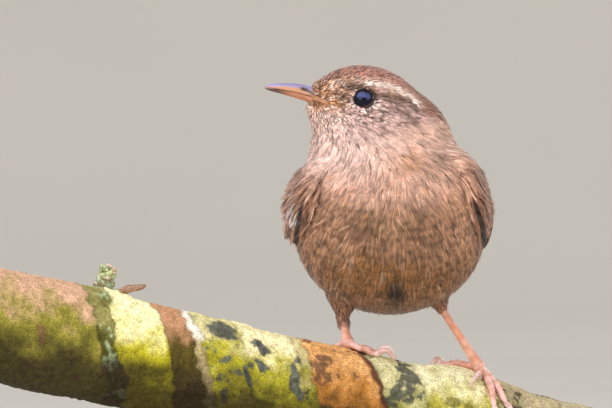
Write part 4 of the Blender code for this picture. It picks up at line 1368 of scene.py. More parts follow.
def build_cuffs(coat):
    """Feathers that taper from each thigh down over the top of its shank, further on the right."""
    rng, count = coat.rng, 80
    for name, leg in LEGS.items():
        reach_down = 1.0 if name == "right" else 0.35
        cuff = np.array(leg["cuff"])
        down = unit(on_branch(*FEET[name]["palm"], GAP + PALM_RADIUS) - STANDS_AT - cuff)
        side = unit(np.cross(down, (0.0, 1.0, 0.1)))
        other = np.cross(down, side)
        wide = leg["cuff_radius"] - 0.4
        field = ([(cuff + down * 0.6, np.array((wide, wide, 4.8)), np.array((side, other, down)).T)], 1.0)
        ring = spokes(rng.uniform(0, 2 * math.pi, count), side, other)
        roots = cuff + np.outer(rng.uniform(-2.2, 0.6 * reach_down, count), down) + ring * (wide - 0.3)
        coat.grow("coat_cuff_" + name, roots, field, lie_along(lambda _, down=down: down), {
            "length": reach_down * rng.uniform(1.8, 3.4, count), "half_width": 0.4, "depth": 0.25,
            "crest": rng.uniform(0.0, 0.25, count), "blades": 9, "blade": 0.06, "bars": 0.2,
            "colour": over(srgb(150, 104, 78), srgb(206, 160, 138),
                           0.6 * (rng.uniform(size=count) > 0.6)),
            "streak": 0.2,
        })


# Tubes, for the legs, toes, claws, stubs and lids.

def smooth_path(points, count):
    """A curve through points, with the given number of places on it."""
    points = np.asarray(points, float)
    padded = np.concatenate((2 * points[:1] - points[1:2], points, 2 * points[-1:] - points[-2:-1]))
    at = np.linspace(0, len(points) - 1 - 1e-6, count)
    k = np.floor(at).astype(int)
    t = (at - k)[:, None]
    p0, p1, p2, p3 = (padded[k + i] for i in range(4))
    return 0.5 * (2 * p1 + (p2 - p0) * t + (2 * p0 - 5 * p1 + 4 * p2 - p3) * t**2
                  + (3 * p1 - p0 - 3 * p2 + p3) * t**3)


def smooth_values(values, count):
    return smooth_path(np.asarray(values, float)[:, None], count)[:, 0]


def tube(path, radii, sides, start_side=(0.31, 0.17, 0.93), shape=None):
    """Points and quads of a tube with rounded closed ends; shape(row, turn) scales its radius."""
    path, radii = np.asarray(path, float), np.asarray(radii, float)
    tangents = unit(np.gradient(path, axis=0))
    side = np.cross(tangents[0], start_side)
    turns = np.linspace(0, 2 * math.pi, sides, endpoint=False)
    rings = []
    for k, (point, tangent, radius) in enumerate(zip(path, tangents, radii)):
        side = side - tangent * (side @ tangent)
        side = side / np.linalg.norm(side)
        scale = radius * (shape(k, turns) if shape else np.ones(sides))
        rings.append(point + scale[:, None] * spokes(turns, side, np.cross(tangent, side)))
    for end, sign in ((0, -1), (-1, 1)):
        way = sign * tangents[end] * radii[end]
        centre = path[end] + way * 0.45
        cap = [centre + (rings[end] - path[end]) * 0.55, np.tile(centre + way * 0.2, (sides, 1))]
        rings = cap[::-1] + rings if end == 0 else rings + cap
    return np.concatenate(rings), grid_faces(len(rings), sides, closed=True)


# The branch.

def branch_axis(along):
    along = np.asarray(along, float)
    across = STANDS_AT[1] + (along - STANDS_AT[0]) * BRANCH_YAW
    return np.stack((along, across, BRANCH_HEIGHT - BRANCH_FALL * along), axis=-1)


BRANCH_ALONG = unit(branch_axis(1.0) - branch_axis(0.0))
BRANCH_UP = unit(np.array((0.0, 0.0, 1.0)) - BRANCH_ALONG * BRANCH_ALONG[2])
BRANCH_FRONT = np.cross(BRANCH_ALONG, BRANCH_UP)


def branch_radius(along, turn):
    radius = BRANCH_RADIUS - BRANCH_TAPER * along
    for spot, spread, height in (SWELLING, KNOT):
        facing = np.maximum(0.0, np.cos(turn)) ** 2
        radius = radius + height * np.exp(-(((along - spot) / spread) ** 2)) * facing
    lumps = np.sin(0.21 * along + 2.0 * turn) + np.sin(0.13 * along - 3.0 * turn + 1.1)
    lumps = lumps + 0.6 * np.sin(0.41 * along + 5.0 * turn + 2.3)
    quiet = 1.0 - 0.75 * np.maximum(0.0, np.cos(turn))
    return radius + 0.22 * lumps * quiet


def on_branch(along, degrees, lift=0.0):
    """Points of the bark: along X, in degrees round it from its top, and out from it."""
    along, turn = np.asarray(along, float), np.radians(degrees)
    out = np.multiply.outer(np.cos(turn), BRANCH_UP) + np.multiply.outer(np.sin(turn), BRANCH_FRONT)
    return branch_axis(along) + out * np.asarray(branch_radius(along, turn) + lift)[..., None]


# Colour bands along the branch: where each starts along X, its colour on top, paler there partly as
# painted light, and low down, how much of it is dark spots, and the colour of those.
BARK_BROWN, BARK_DARK = srgb(134, 98, 66), srgb(54, 44, 30)
BLUE_GREY, GREY_GREEN = srgb(74, 78, 80), srgb(158, 172, 128)
BRANCH_BANDS = (
    (-90.0, srgb(204, 162, 132), srgb(140, 132, 50), 0.2, BARK_BROWN),
    (-52.4, srgb(150, 142, 84), srgb(84, 82, 30), 0.6, GREY_GREEN),
    (-48.0, srgb(248, 238, 180), srgb(186, 176, 36), 0.0, BARK_BROWN),
    (-37.0, srgb(192, 142, 104), srgb(92, 78, 30), 0.25, BARK_DARK),
    (-30.4, srgb(238, 226, 206), srgb(180, 162, 112), 0.0, BARK_DARK),
    (-28.4, srgb(214, 204, 144), srgb(168, 160, 42), 0.4, BLUE_GREY),
    (-19.0, srgb(246, 232, 178), srgb(166, 158, 42), 0.4, BLUE_GREY),
    (-6.8, srgb(220, 202, 144), srgb(134, 128, 40), 0.3, BARK_DARK),
    (-4.4, srgb(226, 168, 106), srgb(170, 114, 50), 0.85, srgb(104, 74, 54)),
    (9.6, srgb(120, 78, 58), srgb(74, 48, 34), 0.2, BARK_DARK),
    (10.9, srgb(214, 204, 154), srgb(146, 142, 70), 1.0, srgb(52, 56, 56)),
    (20.6, srgb(236, 226, 180), srgb(180, 170, 66), 0.35, srgb(120, 112, 52)),
    (37.5, srgb(188, 172, 134), srgb(124, 116, 58), 0.45, BARK_DARK),
    (52.0, srgb(186, 172, 136), srgb(116, 106, 62), 0.3, BARK_DARK),
)


# Dark spots of lichen on the branch's front: along it, up its side as a share of its radius, and
# half sizes.
BRANCH_SPOTS = (
    (-22.6, 0.80, 3.3, 0.17),
    (-14.6, 0.62, 1.5, 0.16),
    (-16.5, 0.30, 1.0, 0.12),
    (-8.4, 0.10, 1.6, 0.42),
    (-19.5, 0.02, 1.1, 0.2),
)


def branch_colours(points, along):
    """Lichen and bark in slanting bands, pale above and mossy below, with spots and grain; the pale tops
    are partly painted light and the dark underside is painted shade.
    """
    radius = branch_radius(along, 0.0)
    off = points - branch_axis(along)
    height = off @ BRANCH_UP
    up = height / radius
    wobble = 3.4 * (layered_noise(points, 7.0, 31) - 0.5) + 1.6 * (noise(points, 1.6, 37) - 0.5)
    place_at = along + wobble + 0.42 * (height - radius)
    patch = layered_noise(points, 4.0, 41) - 0.5
    # Pale on top: partly the lichen's own colour and partly painted light.
    top = smooth(0.1, 0.95, up + 1.3 * patch)
    grain = noise(points, 0.7, 53)
    spots = layered_noise(points, 3.6, 47) + 0.16 * (grain - 0.5)
    colour = np.zeros((len(points), 3))
    for start, above, below, spotted, spot in BRANCH_BANDS:
        least = 0.74 - 0.22 * spotted
        share = 0.85 * smooth(least, least + 0.06, spots) * (spotted > 0)
        band = layered(below, (above, top), (spot, share))
        rim = np.exp(-(((place_at - start) / 0.45) ** 2))
        here = smooth(start - 0.35, start + 0.35, place_at)
        colour = over(colour, band, here) * (1 - 0.3 * rim)[:, None]
    ragged = 1.1 * (layered_noise(points, 1.7, 97) - 0.5)
    blotch = BLUE_GREY * (0.4 + 0.9 * grain[:, None])
    front = off @ BRANCH_FRONT > 0
    for at, level, wide, tall in BRANCH_SPOTS:
        away = np.hypot((place_at - at) / wide, (up - level) / tall) + ragged
        colour = over(colour, blotch, 0.9 * smooth(1.2, 0.75, away) * front)
    # Painted shade: the underside darkened towards the dark bark brown.
    colour = over(colour, BARK_DARK * 0.7, 0.9 * smooth(0.3, -0.5, up + 0.9 * patch))
    return colour * (0.72 + 0.56 * grain * (0.7 + 0.6 * layered_noise(points, 2.0, 59)))[:, None]


def bark_material():
    """Crusted bark: the painted bands with fine grains, dark pits and cracks."""
    look = Nodes("bark", roughness=0.92, specular=0.15)
    grains = look.ramp(look.noise(3000.0, 3.0, distortion=0.3), (0.36, 0.7), (0.66, 1.3))
    pits = look.ramp(look.voronoi(1500.0), (0.10, 0.45), (0.34, 1.0))
    look.colour(look.times(look.marked(grains), pits, 0.6))
    look.bump(look.noise(900.0, 5.0), 0.8, 0.0004)
    look.bump(look.voronoi(1700.0), 0.5, 0.0002)
    return look.material


SAWN_RINGS = (0.97, 0.9, 0.8, 0.65, 0.5, 0.35, 0.2, 0.08, 0.01)


def sawn_end(edge, along, way):
    """The branch's cut face inside its edge, a little domed, with growth rings."""
    middle, dome = branch_axis(along), BRANCH_ALONG * way * 0.25
    face = [edge] + [middle + (edge - middle) * s + dome * (1 - s**8) for s in SAWN_RINGS]
    points = np.concatenate(face)
    radius = np.repeat((1.0,) + SAWN_RINGS, len(edge))
    growth = 0.86 + 0.14 * np.sin(radius * 46.0 + 3.0 * noise(points, 5.0, 83))
    colour = uneven_shade(srgb(186, 150, 104) * growth[:, None], points, 2.0, 89)
    quads = grid_faces(len(face), len(edge), closed=True)[:, ::way]
    return points, quads, over(colour, BARK_BROWN, smooth(0.93, 0.985, radius))


def build_branch():
    rows, sectors = 520, 176
    stations = np.linspace(-BRANCH_HALF, BRANCH_HALF, rows)
    along, degrees = every_pair(stations, np.linspace(0, 360, sectors, endpoint=False))
    base = on_branch(along, degrees)
    coarse, fine = layered_noise(base, 3.0, 61, 4) - 0.42, layered_noise(base, 0.9, 67, 2) - 0.45
    flakes = 0.35 * smooth(0.55, 0.62, layered_noise(base * (0.5, 1, 1), 4.0, 71))
    lift = np.clip(0.55 * coarse + 0.42 * fine + flakes, -0.35, 0.5)
    points = on_branch(along, degrees, lift)
    parts = [
        (points, grid_faces(rows, sectors, closed=True), branch_colours(points, along)),
        sawn_end(points[:sectors], stations[0], -1),
        sawn_end(points[-sectors:], stations[-1], 1),
    ]
    place(make_mesh("perch_bark", *join(parts), in_bird=False), bark_material(), "bark", "perch")
    build_stubs()


def lichen_leaves(count, degrees, slant, length, radius):
    """Small lobes of lichen that stand out all over a stub."""
    rng = np.random.default_rng(SEED + 5)
    root = on_branch(KNOT[0], degrees, -1.0)
    lean = unit(BRANCH_UP + BRANCH_ALONG * slant)
    leaves = []
    for _ in range(count):
        t = rng.uniform(0.25, 1.0)
        way = unit(rng.normal(0, 1, 3))
        way = unit(way - lean * (way @ lean) * 0.6)
        start = root + lean * length * t + way * radius * 0.7
        size = rng.uniform(0.4, 0.85)
        path = [start, start + way * size * 0.5, start + (way + lean * 0.3) * size * 0.9]
        leaves.append(tube(smooth_path(path, 6), smooth_values((0.4, 0.75, 0.35), 6) * size, 8))
    return leaves


def build_stubs():
    """The broken stub on the knot with its lichen, and the thin twig beside it."""
    def fluted(k, turns):
        return 1 + 0.08 * np.sin(5 * turns + 0.6 * k)

    pieces = []
    for degrees, slant, length, radius in STUBS:
        root = on_branch(KNOT[0], degrees, -1.6)
        lean = unit(BRANCH_UP + BRANCH_ALONG * slant)
        path = smooth_path([root + lean * length * t for t in (0.0, 0.45, 0.8, 1.0)], 30)
        pieces.append(tube(path, radius * smooth_values((1.3, 1.1, 1.05, 0.5), 30), 24, shape=fluted))
    points, quads = join(pieces)
    points = points + 0.5 * (np.stack([noise(points, 1.3, s) for s in (3, 4, 5)], axis=1) - 0.5)
    on_twig = smooth(2.0, 4.0, points[:, 0] - on_branch(KNOT[0], 0.0)[0])
    colours = layered(srgb(118, 108, 78), (srgb(158, 168, 138), smooth(0.35, 0.6, noise(points, 1.6, 9))),
                      (srgb(160, 126, 104), on_twig))
    place(make_mesh("perch_stubs", points, quads, colours, in_bird=False), bark_material(), "bark")
    points, quads = join(lichen_leaves(170, *STUBS[0]))
    shade = over(srgb(176, 184, 132), srgb(214, 186, 164), smooth(0.45, 0.7, noise(points, 1.8, 13)))
    shade = shade * (0.7 + 0.6 * noise(points, 0.8, 12)[:, None])
    place(make_mesh("perch_lichen", points, quads, shade, in_bird=False), bark_material(), "bark")


# Legs, toes and claws.

def foot_path(start, end, lifts, count):
    """A curve over the bark from one place to another, with its heights over the bark."""
    along, degrees = (np.linspace(a, b, len(lifts)) for a, b in zip(start, end))
    return smooth_path(on_branch(along, degrees, np.array(lifts)), count)


def scuted(count, rows, depth=0.07):
    """Radius scale of a scaled tube: overlapping plates on top, small pads below."""
    def scale(k, turns):
        step = (k / rows * count) % 1.0
        plate = 1.0 + depth * (step - 0.5)
        pads = 1.0 + 0.6 * depth * math.cos(2 * math.pi * k / rows * count * 1.5)
        top = 0.5 + 0.5 * np.cos(turns)
        return plate * top + pads * (1 - top)
    return scale


def skin_material():
    look = Nodes("leg_skin", roughness=0.42, specular=0.4)
    look.colour(look.marked(look.ramp(look.noise(700.0, 4.0), (0.3, 0.78), (0.7, 1.15)), 0.9))
    look.set("Subsurface Weight", 0.12)
    look.set("Subsurface Radius", (0.0012, 0.0005, 0.0003))
    look.bump(look.voronoi(2600.0), 0.35, 0.00012)
    return look.material


def claw_material():
    look = Nodes("claw_horn", roughness=0.28, specular=0.5)
    look.colour(look.marked(look.ramp(look.noise(900.0), (0.3, 0.8), (0.7, 1.1))))
    return look.material


PINK, DUSK = srgb(232, 188, 176), srgb(208, 146, 120)


def build_shank(name, palm_at, down, skin):
    cuff, hip = (np.array(LEGS[name][key]) + STANDS_AT for key in ("cuff", "hip"))
    top = cuff - unit(cuff - hip) * 1.5
    path = (top, cuff + down * 1.0, cuff + (palm_at - cuff) * 0.55, palm_at - down * 0.6)
    radii = SHANK_RADIUS * smooth_values((1.05, 1.06, 1.04, 1.18, 1.6), 90)
    points, quads = tube(smooth_path(path, 90), radii, 28, shape=scuted(8, 90, 0.10))
    off = points - cuff - np.outer((points - cuff) @ down, down)
    front = smooth(0.25, 0.85, -off[:, 1] / np.linalg.norm(off, axis=1))
    colour = layered(shaded(points, PINK, DUSK, 3), (srgb(218, 182, 190), 0.65 * (1 - front)),
                     (srgb(210, 140, 100), 0.5 * front))
    shank = make_mesh("shank_" + name, points, quads, colour, in_bird=False)
    place(shank, skin, "leg_skin", "tarsus_" + name)


def build_toes(name, palm_at, down, skin, horn):
    palm = FEET[name]["palm"]
    ball = palm_at + unit(palm_at - branch_axis(palm[0])) * -0.1
    path = smooth_path((ball - down * 1.0, ball, ball + down * 0.7), 14)
    toes, claws = [tube(path, smooth_values((1.2, 1.45, 0.9), 14), 24)], []
    rest = GAP + TOE_RADIUS - 0.12
    for toe, (end, claw_tip) in FEET[name]["toes"].items():
        thick = 1.35 if toe == "hind" else 1.08
        path = foot_path(palm, end, (rest + 0.5, rest + 0.35, rest + 0.1, rest + 0.25, rest, rest), 70)
        radii = TOE_RADIUS * thick * smooth_values((1.2, 1.0, 0.92, 1.04, 0.9, 0.66), 70)
        toes.append(tube(path, radii, 20, start_side=BRANCH_FRONT, shape=scuted(9, 70, 0.13)))
        path = foot_path(end, claw_tip, (rest, rest + 1.3, rest + 1.6, rest + 0.8, GAP + 0.05), 26)
        radii = CLAW_RADIUS * thick * smooth_values((1.25, 1.15, 1.0, 0.62, 0.1), 26)
        claws.append(tube(path, radii, 14))
    points, quads = join(toes)
    toe_skin = make_mesh("toes_" + name, points, quads, shaded(points, PINK, DUSK, 5), in_bird=False)
    place(toe_skin, skin, "leg_skin", "foot_" + name)
    points, quads = join(claws)
    colour = shaded(points, srgb(240, 212, 204), srgb(208, 164, 152), 7)
    place(make_mesh("claws_" + name, points, quads, colour, in_bird=False), horn, "bill_horn")


def build_feet():
    skin, horn = skin_material(), claw_material()
    for name, foot in FEET.items():
        palm_at = on_branch(*foot["palm"], GAP + PALM_RADIUS)
        down = unit(palm_at - (np.array(LEGS[name]["cuff"]) + STANDS_AT))
        build_shank(name, palm_at, down, skin)
        build_toes(name, palm_at, down, skin, horn)


def shaded(points, first, second, seed):
    return over(first, second, smooth(0.35, 0.7, layered_noise(points, 1.6, seed)))


# Eyes, lids and bill.

def ball_grid(rows, columns, end, closed):
    """A unit ball: the angles from its pole and round it, and its points, row by row."""
    polar, turn = every_pair(np.linspace(end, math.pi - end, rows),
                             np.linspace(0, 2 * math.pi, columns, endpoint=not closed))
    flat = np.sin(polar)
    return polar, turn, np.stack((flat * np.cos(turn), flat * np.sin(turn), np.cos(polar)), axis=1)


def build_eyeball(name, centre, axes, material):
    rows, columns = 60, 64
    polar, _, ball = ball_grid(rows, columns, 0.001, closed=True)
    ball = ball @ axes.T
    iris = smooth(0.40, 0.46, polar) * smooth(0.98, 0.9, polar)
    height = ball @ HEAD_AXES[:, 2]
    # A bluish painted reflection of the sky on the upper part of the eyeball.
    painted_sky_reflection = smooth(0.04, 0.16, height) * smooth(0.58, 0.36, height) * smooth(0.62, 0.50, polar)
    colour = layered(srgb(3, 3, 5), (srgb(22, 14, 12), iris), (srgb(74, 80, 124), 0.8 * painted_sky_reflection))
    quads = grid_faces(rows, columns, closed=True)
    eyeball = make_mesh("eyeball_" + name, centre + EYE_RADIUS * ball, quads, colour)
    place(eyeball, material, "eye", "eye_" + name)


def build_lids(name, centre, axes, material):
    """A beaded ring of bare skin round the eye's opening."""
    count, sides = 120, 14
    around = np.linspace(0, 2 * math.pi, sides, endpoint=False)
    rings = []
    for turn in 2 * math.pi * np.arange(count) / count:
        way = axes[:, 0] * math.cos(turn) + axes[:, 1] * math.sin(turn)
        radius = LID_RADIUS * (1.0 + 0.14 * math.cos(30 * turn))
        middle = centre + axes[:, 2] * (OPENING_DEPTH + 0.06) + way * (EYE_OPENING + 0.13)
        rings.append(middle + radius * spokes(around, way, axes[:, 2]))
    points = np.concatenate(rings)
    quads = grid_faces(count + 1, sides, closed=True)[:, (0, 3, 2, 1)] % len(points)
    colour = over(srgb(40, 30, 27), srgb(120, 92, 80), smooth(0.5, 0.75, noise(points, 0.6, 21)))
    place(make_mesh("lids_" + name, points, quads, colour), material, "plumage_brown")


def build_eyes():
    look = Nodes("eye", roughness=0.06, specular=0.3)
    look.set("Specular Tint", (*srgb(196, 204, 255), 1.0))
    look.colour(look.marked())
    lids = Nodes("lids", roughness=0.6, specular=0.3)
    lids.colour(lids.marked(lids.ramp(lids.noise(2200.0), (0.3, 0.7), (0.7, 1.2))))
    lids.bump(lids.voronoi(3800.0), 0.5, 0.0001)
    for name, side in SIDES.items():
        centre, axes = eye_frame(side)
        build_eyeball(name, centre, axes, look.material)
        build_lids(name, centre, axes, lids.material)


def bill_half(upper, rows=70, across=26):
    """Half of the bill in the head's frame, row by row: round its outside, then its grooved inside."""
    turns = np.linspace(0, math.pi, across)
    inner = np.linspace(-1, 1, across // 2)[1:-1]
    way, power = (1, 0.8) if upper else (-1, 0.9)
    points = []
    for forward, culmen, mouth, lower, half_width in zip(
            *(smooth_values(column, rows) for column in np.array(BILL_STATIONS).T)):
        level = mouth + way * 0.09 * smooth(9.0, 12.0, forward)
        depth = (culmen if upper else lower) - level
        groove = -0.12 * way * (1 - inner**2) * min(1.0, half_width)
        left = half_width * np.concatenate((np.cos(turns), 0.97 * inner))
        up = level + np.concatenate((depth * np.sin(turns) ** power, groove))
        points.append(np.stack((np.full(len(left), forward), left, up), axis=1))
    points = np.array(points)
    if upper:
        for side in SIDES.values():
            offset = (points - NOSTRIL_AT * (1, side, 1)) / NOSTRIL_RADII
            points[..., 1] -= side * 0.42 * np.exp(-((offset**2).sum(axis=-1)))
    return points


def bill_colours(upper, points):
    forward, _, up = points.T
    if not upper:
        base = smooth(14.5, 10.5, forward) * smooth(-2.2, -1.2, up)
        return layered(srgb(178, 118, 84), (srgb(84, 54, 44), smooth(15.5, 21.0, forward)),
                       (srgb(222, 164, 124), 0.8 * base))
    # The lavender on the ridge of the upper mandible is a painted reflection of the sky.
    ridge = up - np.interp(forward, (8.0, 13.8, 18.5, 22.7), (0.85, 1.3, 1.2, 0.5))
    # The near-black line is the nostril and painted shade in the groove behind it; the darker band along
    # the mouth edge is painted shade.
    groove, _ = from_line(NOSTRIL_LINE, forward, up)
    edge = up - np.interp(forward, (9, 22), (-0.6, 0.4))
    return layered(srgb(194, 140, 106), (srgb(146, 134, 172), smooth(-0.1, 0.25, ridge)),
                   (srgb(44, 30, 30), 0.92 * smooth(0.5, 0.2, groove)),
                   (srgb(110, 72, 52), 0.5 * smooth(0.5, 0.15, edge)))


def build_bill():
    horn = Nodes("bill_horn", roughness=0.27, coat=0.15, specular=0.55)
    grain = horn.noise(60.0, 4.0, horn.stretched((3.0, 14.0, 14.0)))
    horn.colour(horn.marked(horn.ramp(grain, (0.3, 0.8), (0.7, 1.14))))
    horn.bump(horn.noise(500.0, 4.0, horn.stretched((1.0, 4.0, 4.0))), 0.12, 0.0001)
    for name, upper in (("bill_upper", True), ("bill_lower", False)):
        local = bill_half(upper)
        rows, columns = local.shape[:2]
        local = local.reshape(-1, 3)
        points, colour = from_head(local), bill_colours(upper, local)
        faces = [triangles(grid_faces(rows, columns, closed=True)[:, ::1 if upper else -1])]
        for first in (0, (rows - 1) * columns):
            ring = np.arange(columns) + first
            faces.append(np.stack((ring, np.roll(ring, -1), np.full(columns, len(points))), axis=1))
            points, colour = (np.concatenate((v, v[ring].mean(axis=0)[None])) for v in (points, colour))
        half = make_mesh(name + "_horn", points, np.concatenate(faces), colour)
        place(half, horn.material, "bill_horn" if upper else "bill_pale", name)
    build_gape(horn.material)


def build_gape(horn):
    """The fleshy corners of the mouth, running back from the bill into the face."""
    thickness = np.interp(np.linspace(0, 1, 30), (0, 0.3, 0.8, 1), (0.8, 1, 0.8, 0.3))
    for name, side in SIDES.items():
        pieces = []
        for drop, size in ((0.16, 0.30), (-0.26, 0.36)):
            line = np.array(((11.9, 2.0, -0.05 + drop), (11.2, 3.1, -0.4 + drop),
                             (9.9, 4.45, -0.8 + drop), (8.7, 5.1, -1.25 + drop * 0.6)))
            path = settle(smooth_path(from_head(line * (1, side, 1)), 30), -0.05)
            front = from_head(((12.4, side * 1.7, -0.1 + drop), (11.9, side * 2.2, -0.15 + drop)))
            path[:6] = smooth_path((*front, path[6]), 7)[:6]
            pieces.append(tube(path, size * thickness, 12))
        points, quads = join(pieces)
        colour = over(srgb(192, 132, 88), srgb(140, 88, 56), noise(points, 0.8, 33))
        place(make_mesh("gape_" + name, points, quads, colour), horn, "bill_pale")


# Flight feathers, coverts and tail feathers.

# Rows: out along the tail, across it, and up from it.
TAIL_AXES = np.array(((0.0, math.cos(TAIL_COCK), math.sin(TAIL_COCK)), (1.0, 0.0, 0.0),
                      (0.0, -math.sin(TAIL_COCK), math.cos(TAIL_COCK))))


def on_tail(along, across, lift):
    """Points of the tail: out along it, across it, and up from it."""
    places = np.broadcast_arrays(along, across, lift - 0.008 * across * across)
    return TAIL_ROOT + np.stack(places, axis=-1) @ TAIL_AXES


def vane(rng, surface, root, tip, half_width, heights, lean, paint, rows=64, columns=13, curve=0.0):
    """One feather: a thin closed vane with a raised shaft and slightly frayed edges."""
    root, tip = np.array(root, float), np.array(tip, float)
    length = np.linalg.norm(tip - root)
    run = (tip - root) / length
    t = np.linspace(0, 1, rows)[:, None]
    a = np.linspace(-1, 1, columns)[None, :]
    rounded = np.sqrt(np.clip(1 - smooth(0.72, 1.02, t) ** 2, 0.02, 1))
    profile = (0.62 + 0.38 * smooth(0.0, 0.4, t)) * rounded
    fray = 0.05 * rng.normal(0, 1, (rows, 1)) * smooth(0.2, 0.6, t) * (np.abs(a) > 0.95)
    width = half_width * profile * (1 + fray)
    across = width * a + curve * np.sin(math.pi * t)
    along = root[0] + run[0] * length * t - run[1] * across
    up = root[1] + run[1] * length * t + run[0] * across
    arch = 0.10 * (1 - a**2) + 0.10 * np.exp(-((a / 0.09) ** 2)) * (1 - 0.6 * t)
    lift = heights[0] + (heights[1] - heights[0]) * t - lean * width * a + arch
    thick = VANE_THICKNESS * (1 - 0.75 * a**2) * (1 - 0.5 * t) + 0.03
    sheets = [surface(along, up, lift), surface(along, up, lift - thick)]
    colour = paint(*np.broadcast_arrays(t, a), length) * (1 + 0.05 * rng.normal(0, 1, (rows, 1, 1)))
    count = rows * columns
    upper = grid_faces(rows, columns)
    ring = np.concatenate((np.arange(columns), np.arange(2, rows) * columns - 1,
                           count - 1 - np.arange(columns), np.arange(rows - 2, 0, -1) * columns))
    following = np.roll(ring, -1)
    wall = np.stack((following, ring, ring + count, following + count), axis=1)
    return (np.concatenate(sheets).reshape(-1, 3),
            np.concatenate((upper, upper[:, ::-1] + count, wall)),
            np.concatenate((colour, colour)).reshape(-1, 3))


def barred(dark, light, period, edge, seed, tip=None):
    """Paint for a barred feather: bars across it, bolder on the outer vane, pale on its edge."""
    def paint(t, a, length):
        phase = (t * length / period + 0.16 * np.sin(3 * a) + 0.05 * np.sin(17 * t + seed)) % 1.0
        bar = smooth(0.30, 0.42, phase) * smooth(0.92, 0.8, phase)
        pale = np.clip(smooth(0.25, -0.55, a) * edge * (1 - bar), 0, 1)
        shaft = np.exp(-((a / 0.08) ** 2))
        colour = layered(light, (dark, bar), (srgb(214, 172, 132), pale), (dark * 0.7, 0.5 * shaft))
        if tip is not None:
            colour = over(colour, tip, smooth(0.88, 0.97, t) * smooth(0.9, 0.2, np.abs(a)))
        return colour * (0.93 + 0.14 * np.sin(61 * t + 7 * a)[..., None] ** 2)

    return paint


def feather_material(name):
    """Vane colour with fine barbs and a faint silky gloss."""
    look = Nodes(name, roughness=0.55, sheen=0.15, specular=0.35)
    look.colour(look.marked(look.ramp(look.noise(1800.0, 3.0), (0.3, 0.84), (0.7, 1.14))))
    look.bump(look.noise(2200.0, 2.0, look.stretched((1.0, 0.35, 1.0))), 0.35, 0.00012)
    return look.material


WING_DARK, WING_LIGHT = srgb(88, 58, 38), srgb(158, 108, 74)
WING_PAINT = {
    "primaries": barred(srgb(66, 46, 34), srgb(132, 92, 64), 2.3, 0.6, 1),
    "secondaries": barred(WING_DARK, srgb(152, 100, 64), 2.3, 0.35, 2),
    "tertials": barred(WING_DARK, srgb(148, 98, 62), 2.5, 0.15, 3),
    "alula": barred(srgb(70, 48, 34), srgb(120, 84, 60), 2.2, 0.3, 4),
    "greater_coverts": barred(WING_DARK, WING_LIGHT, 2.4, 0.2, 5, srgb(206, 160, 122)),
}


def build_wings():
    material = feather_material("flight_feathers")
    plumage = plumage_material("wing_plumage")
    for number, (name, wing) in enumerate(WINGS.items()):
        rng = np.random.default_rng(SEED + 40 + number)
        pieces = []
        for tier, (count, first, last) in WING_TIERS.items():
            rows = 90 if tier in ("primaries", "secondaries", "tertials") else 44
            for t in np.arange(count) / (count - 1):
                root, tip, half_width, *heights = (
                    np.array(a) * (1 - t) + np.array(b) * t for a, b in zip(first, last))
                tip = tip + rng.normal(0, 0.12, 2)
                points, quads, colour = vane(rng, partial(on_wing, wing), root, tip, half_width, heights,
                                             VANE_LEAN, WING_PAINT[tier], rows, curve=-0.25)
                shadow = 1 - 0.9 * gap_shadow(points)
                pieces.append((points, quads, colour * shadow[:, None] * rng.uniform(0.92, 1.08)))
        feathers = make_mesh("wing_feathers_" + name, *join(pieces))
        place(feathers, material, "wing_brown", "wing_" + name)
        build_wing_coat(rng, name, number, wing, plumage)


def cloak_grid(wing, number, field):
    """A skin over the wing's front, cast from a line inside the wing, with its unwrap."""
    rows, columns = 54, 73
    out, run, high = wing_axes(wing)
    start, stop = on_wing(wing, 1.5, 0.9, -1.7), on_wing(wing, 20.0, 0.6, -1.5)
    turns = np.linspace(0, 2 * math.pi, columns)
    shares = np.arange(rows) / (rows - 1)
    lifts = np.radians(np.interp(shares, (0.0, 0.35), (-88.0, 0.0)))
    flat = spokes(turns, out, high)
    ways = np.concatenate([flat * math.cos(lift) + run * math.sin(lift) for lift in lifts])
    starts = start + np.outer(np.interp(shares, (0.35, 1.0), (0.0, 1.0)), stop - start)
    origins = np.repeat(starts, columns, axis=0)
    share, turn = every_pair(shares, turns / (2 * math.pi))
    uv = np.stack((0.01 + 0.48 * number + 0.47 * turn, 0.01 + 0.97 * share), axis=1)
    far = cast(origins, ways, -0.85, 9.0, 16, field)
    return origins + ways * far[:, None], uv, grid_faces(rows, columns), far


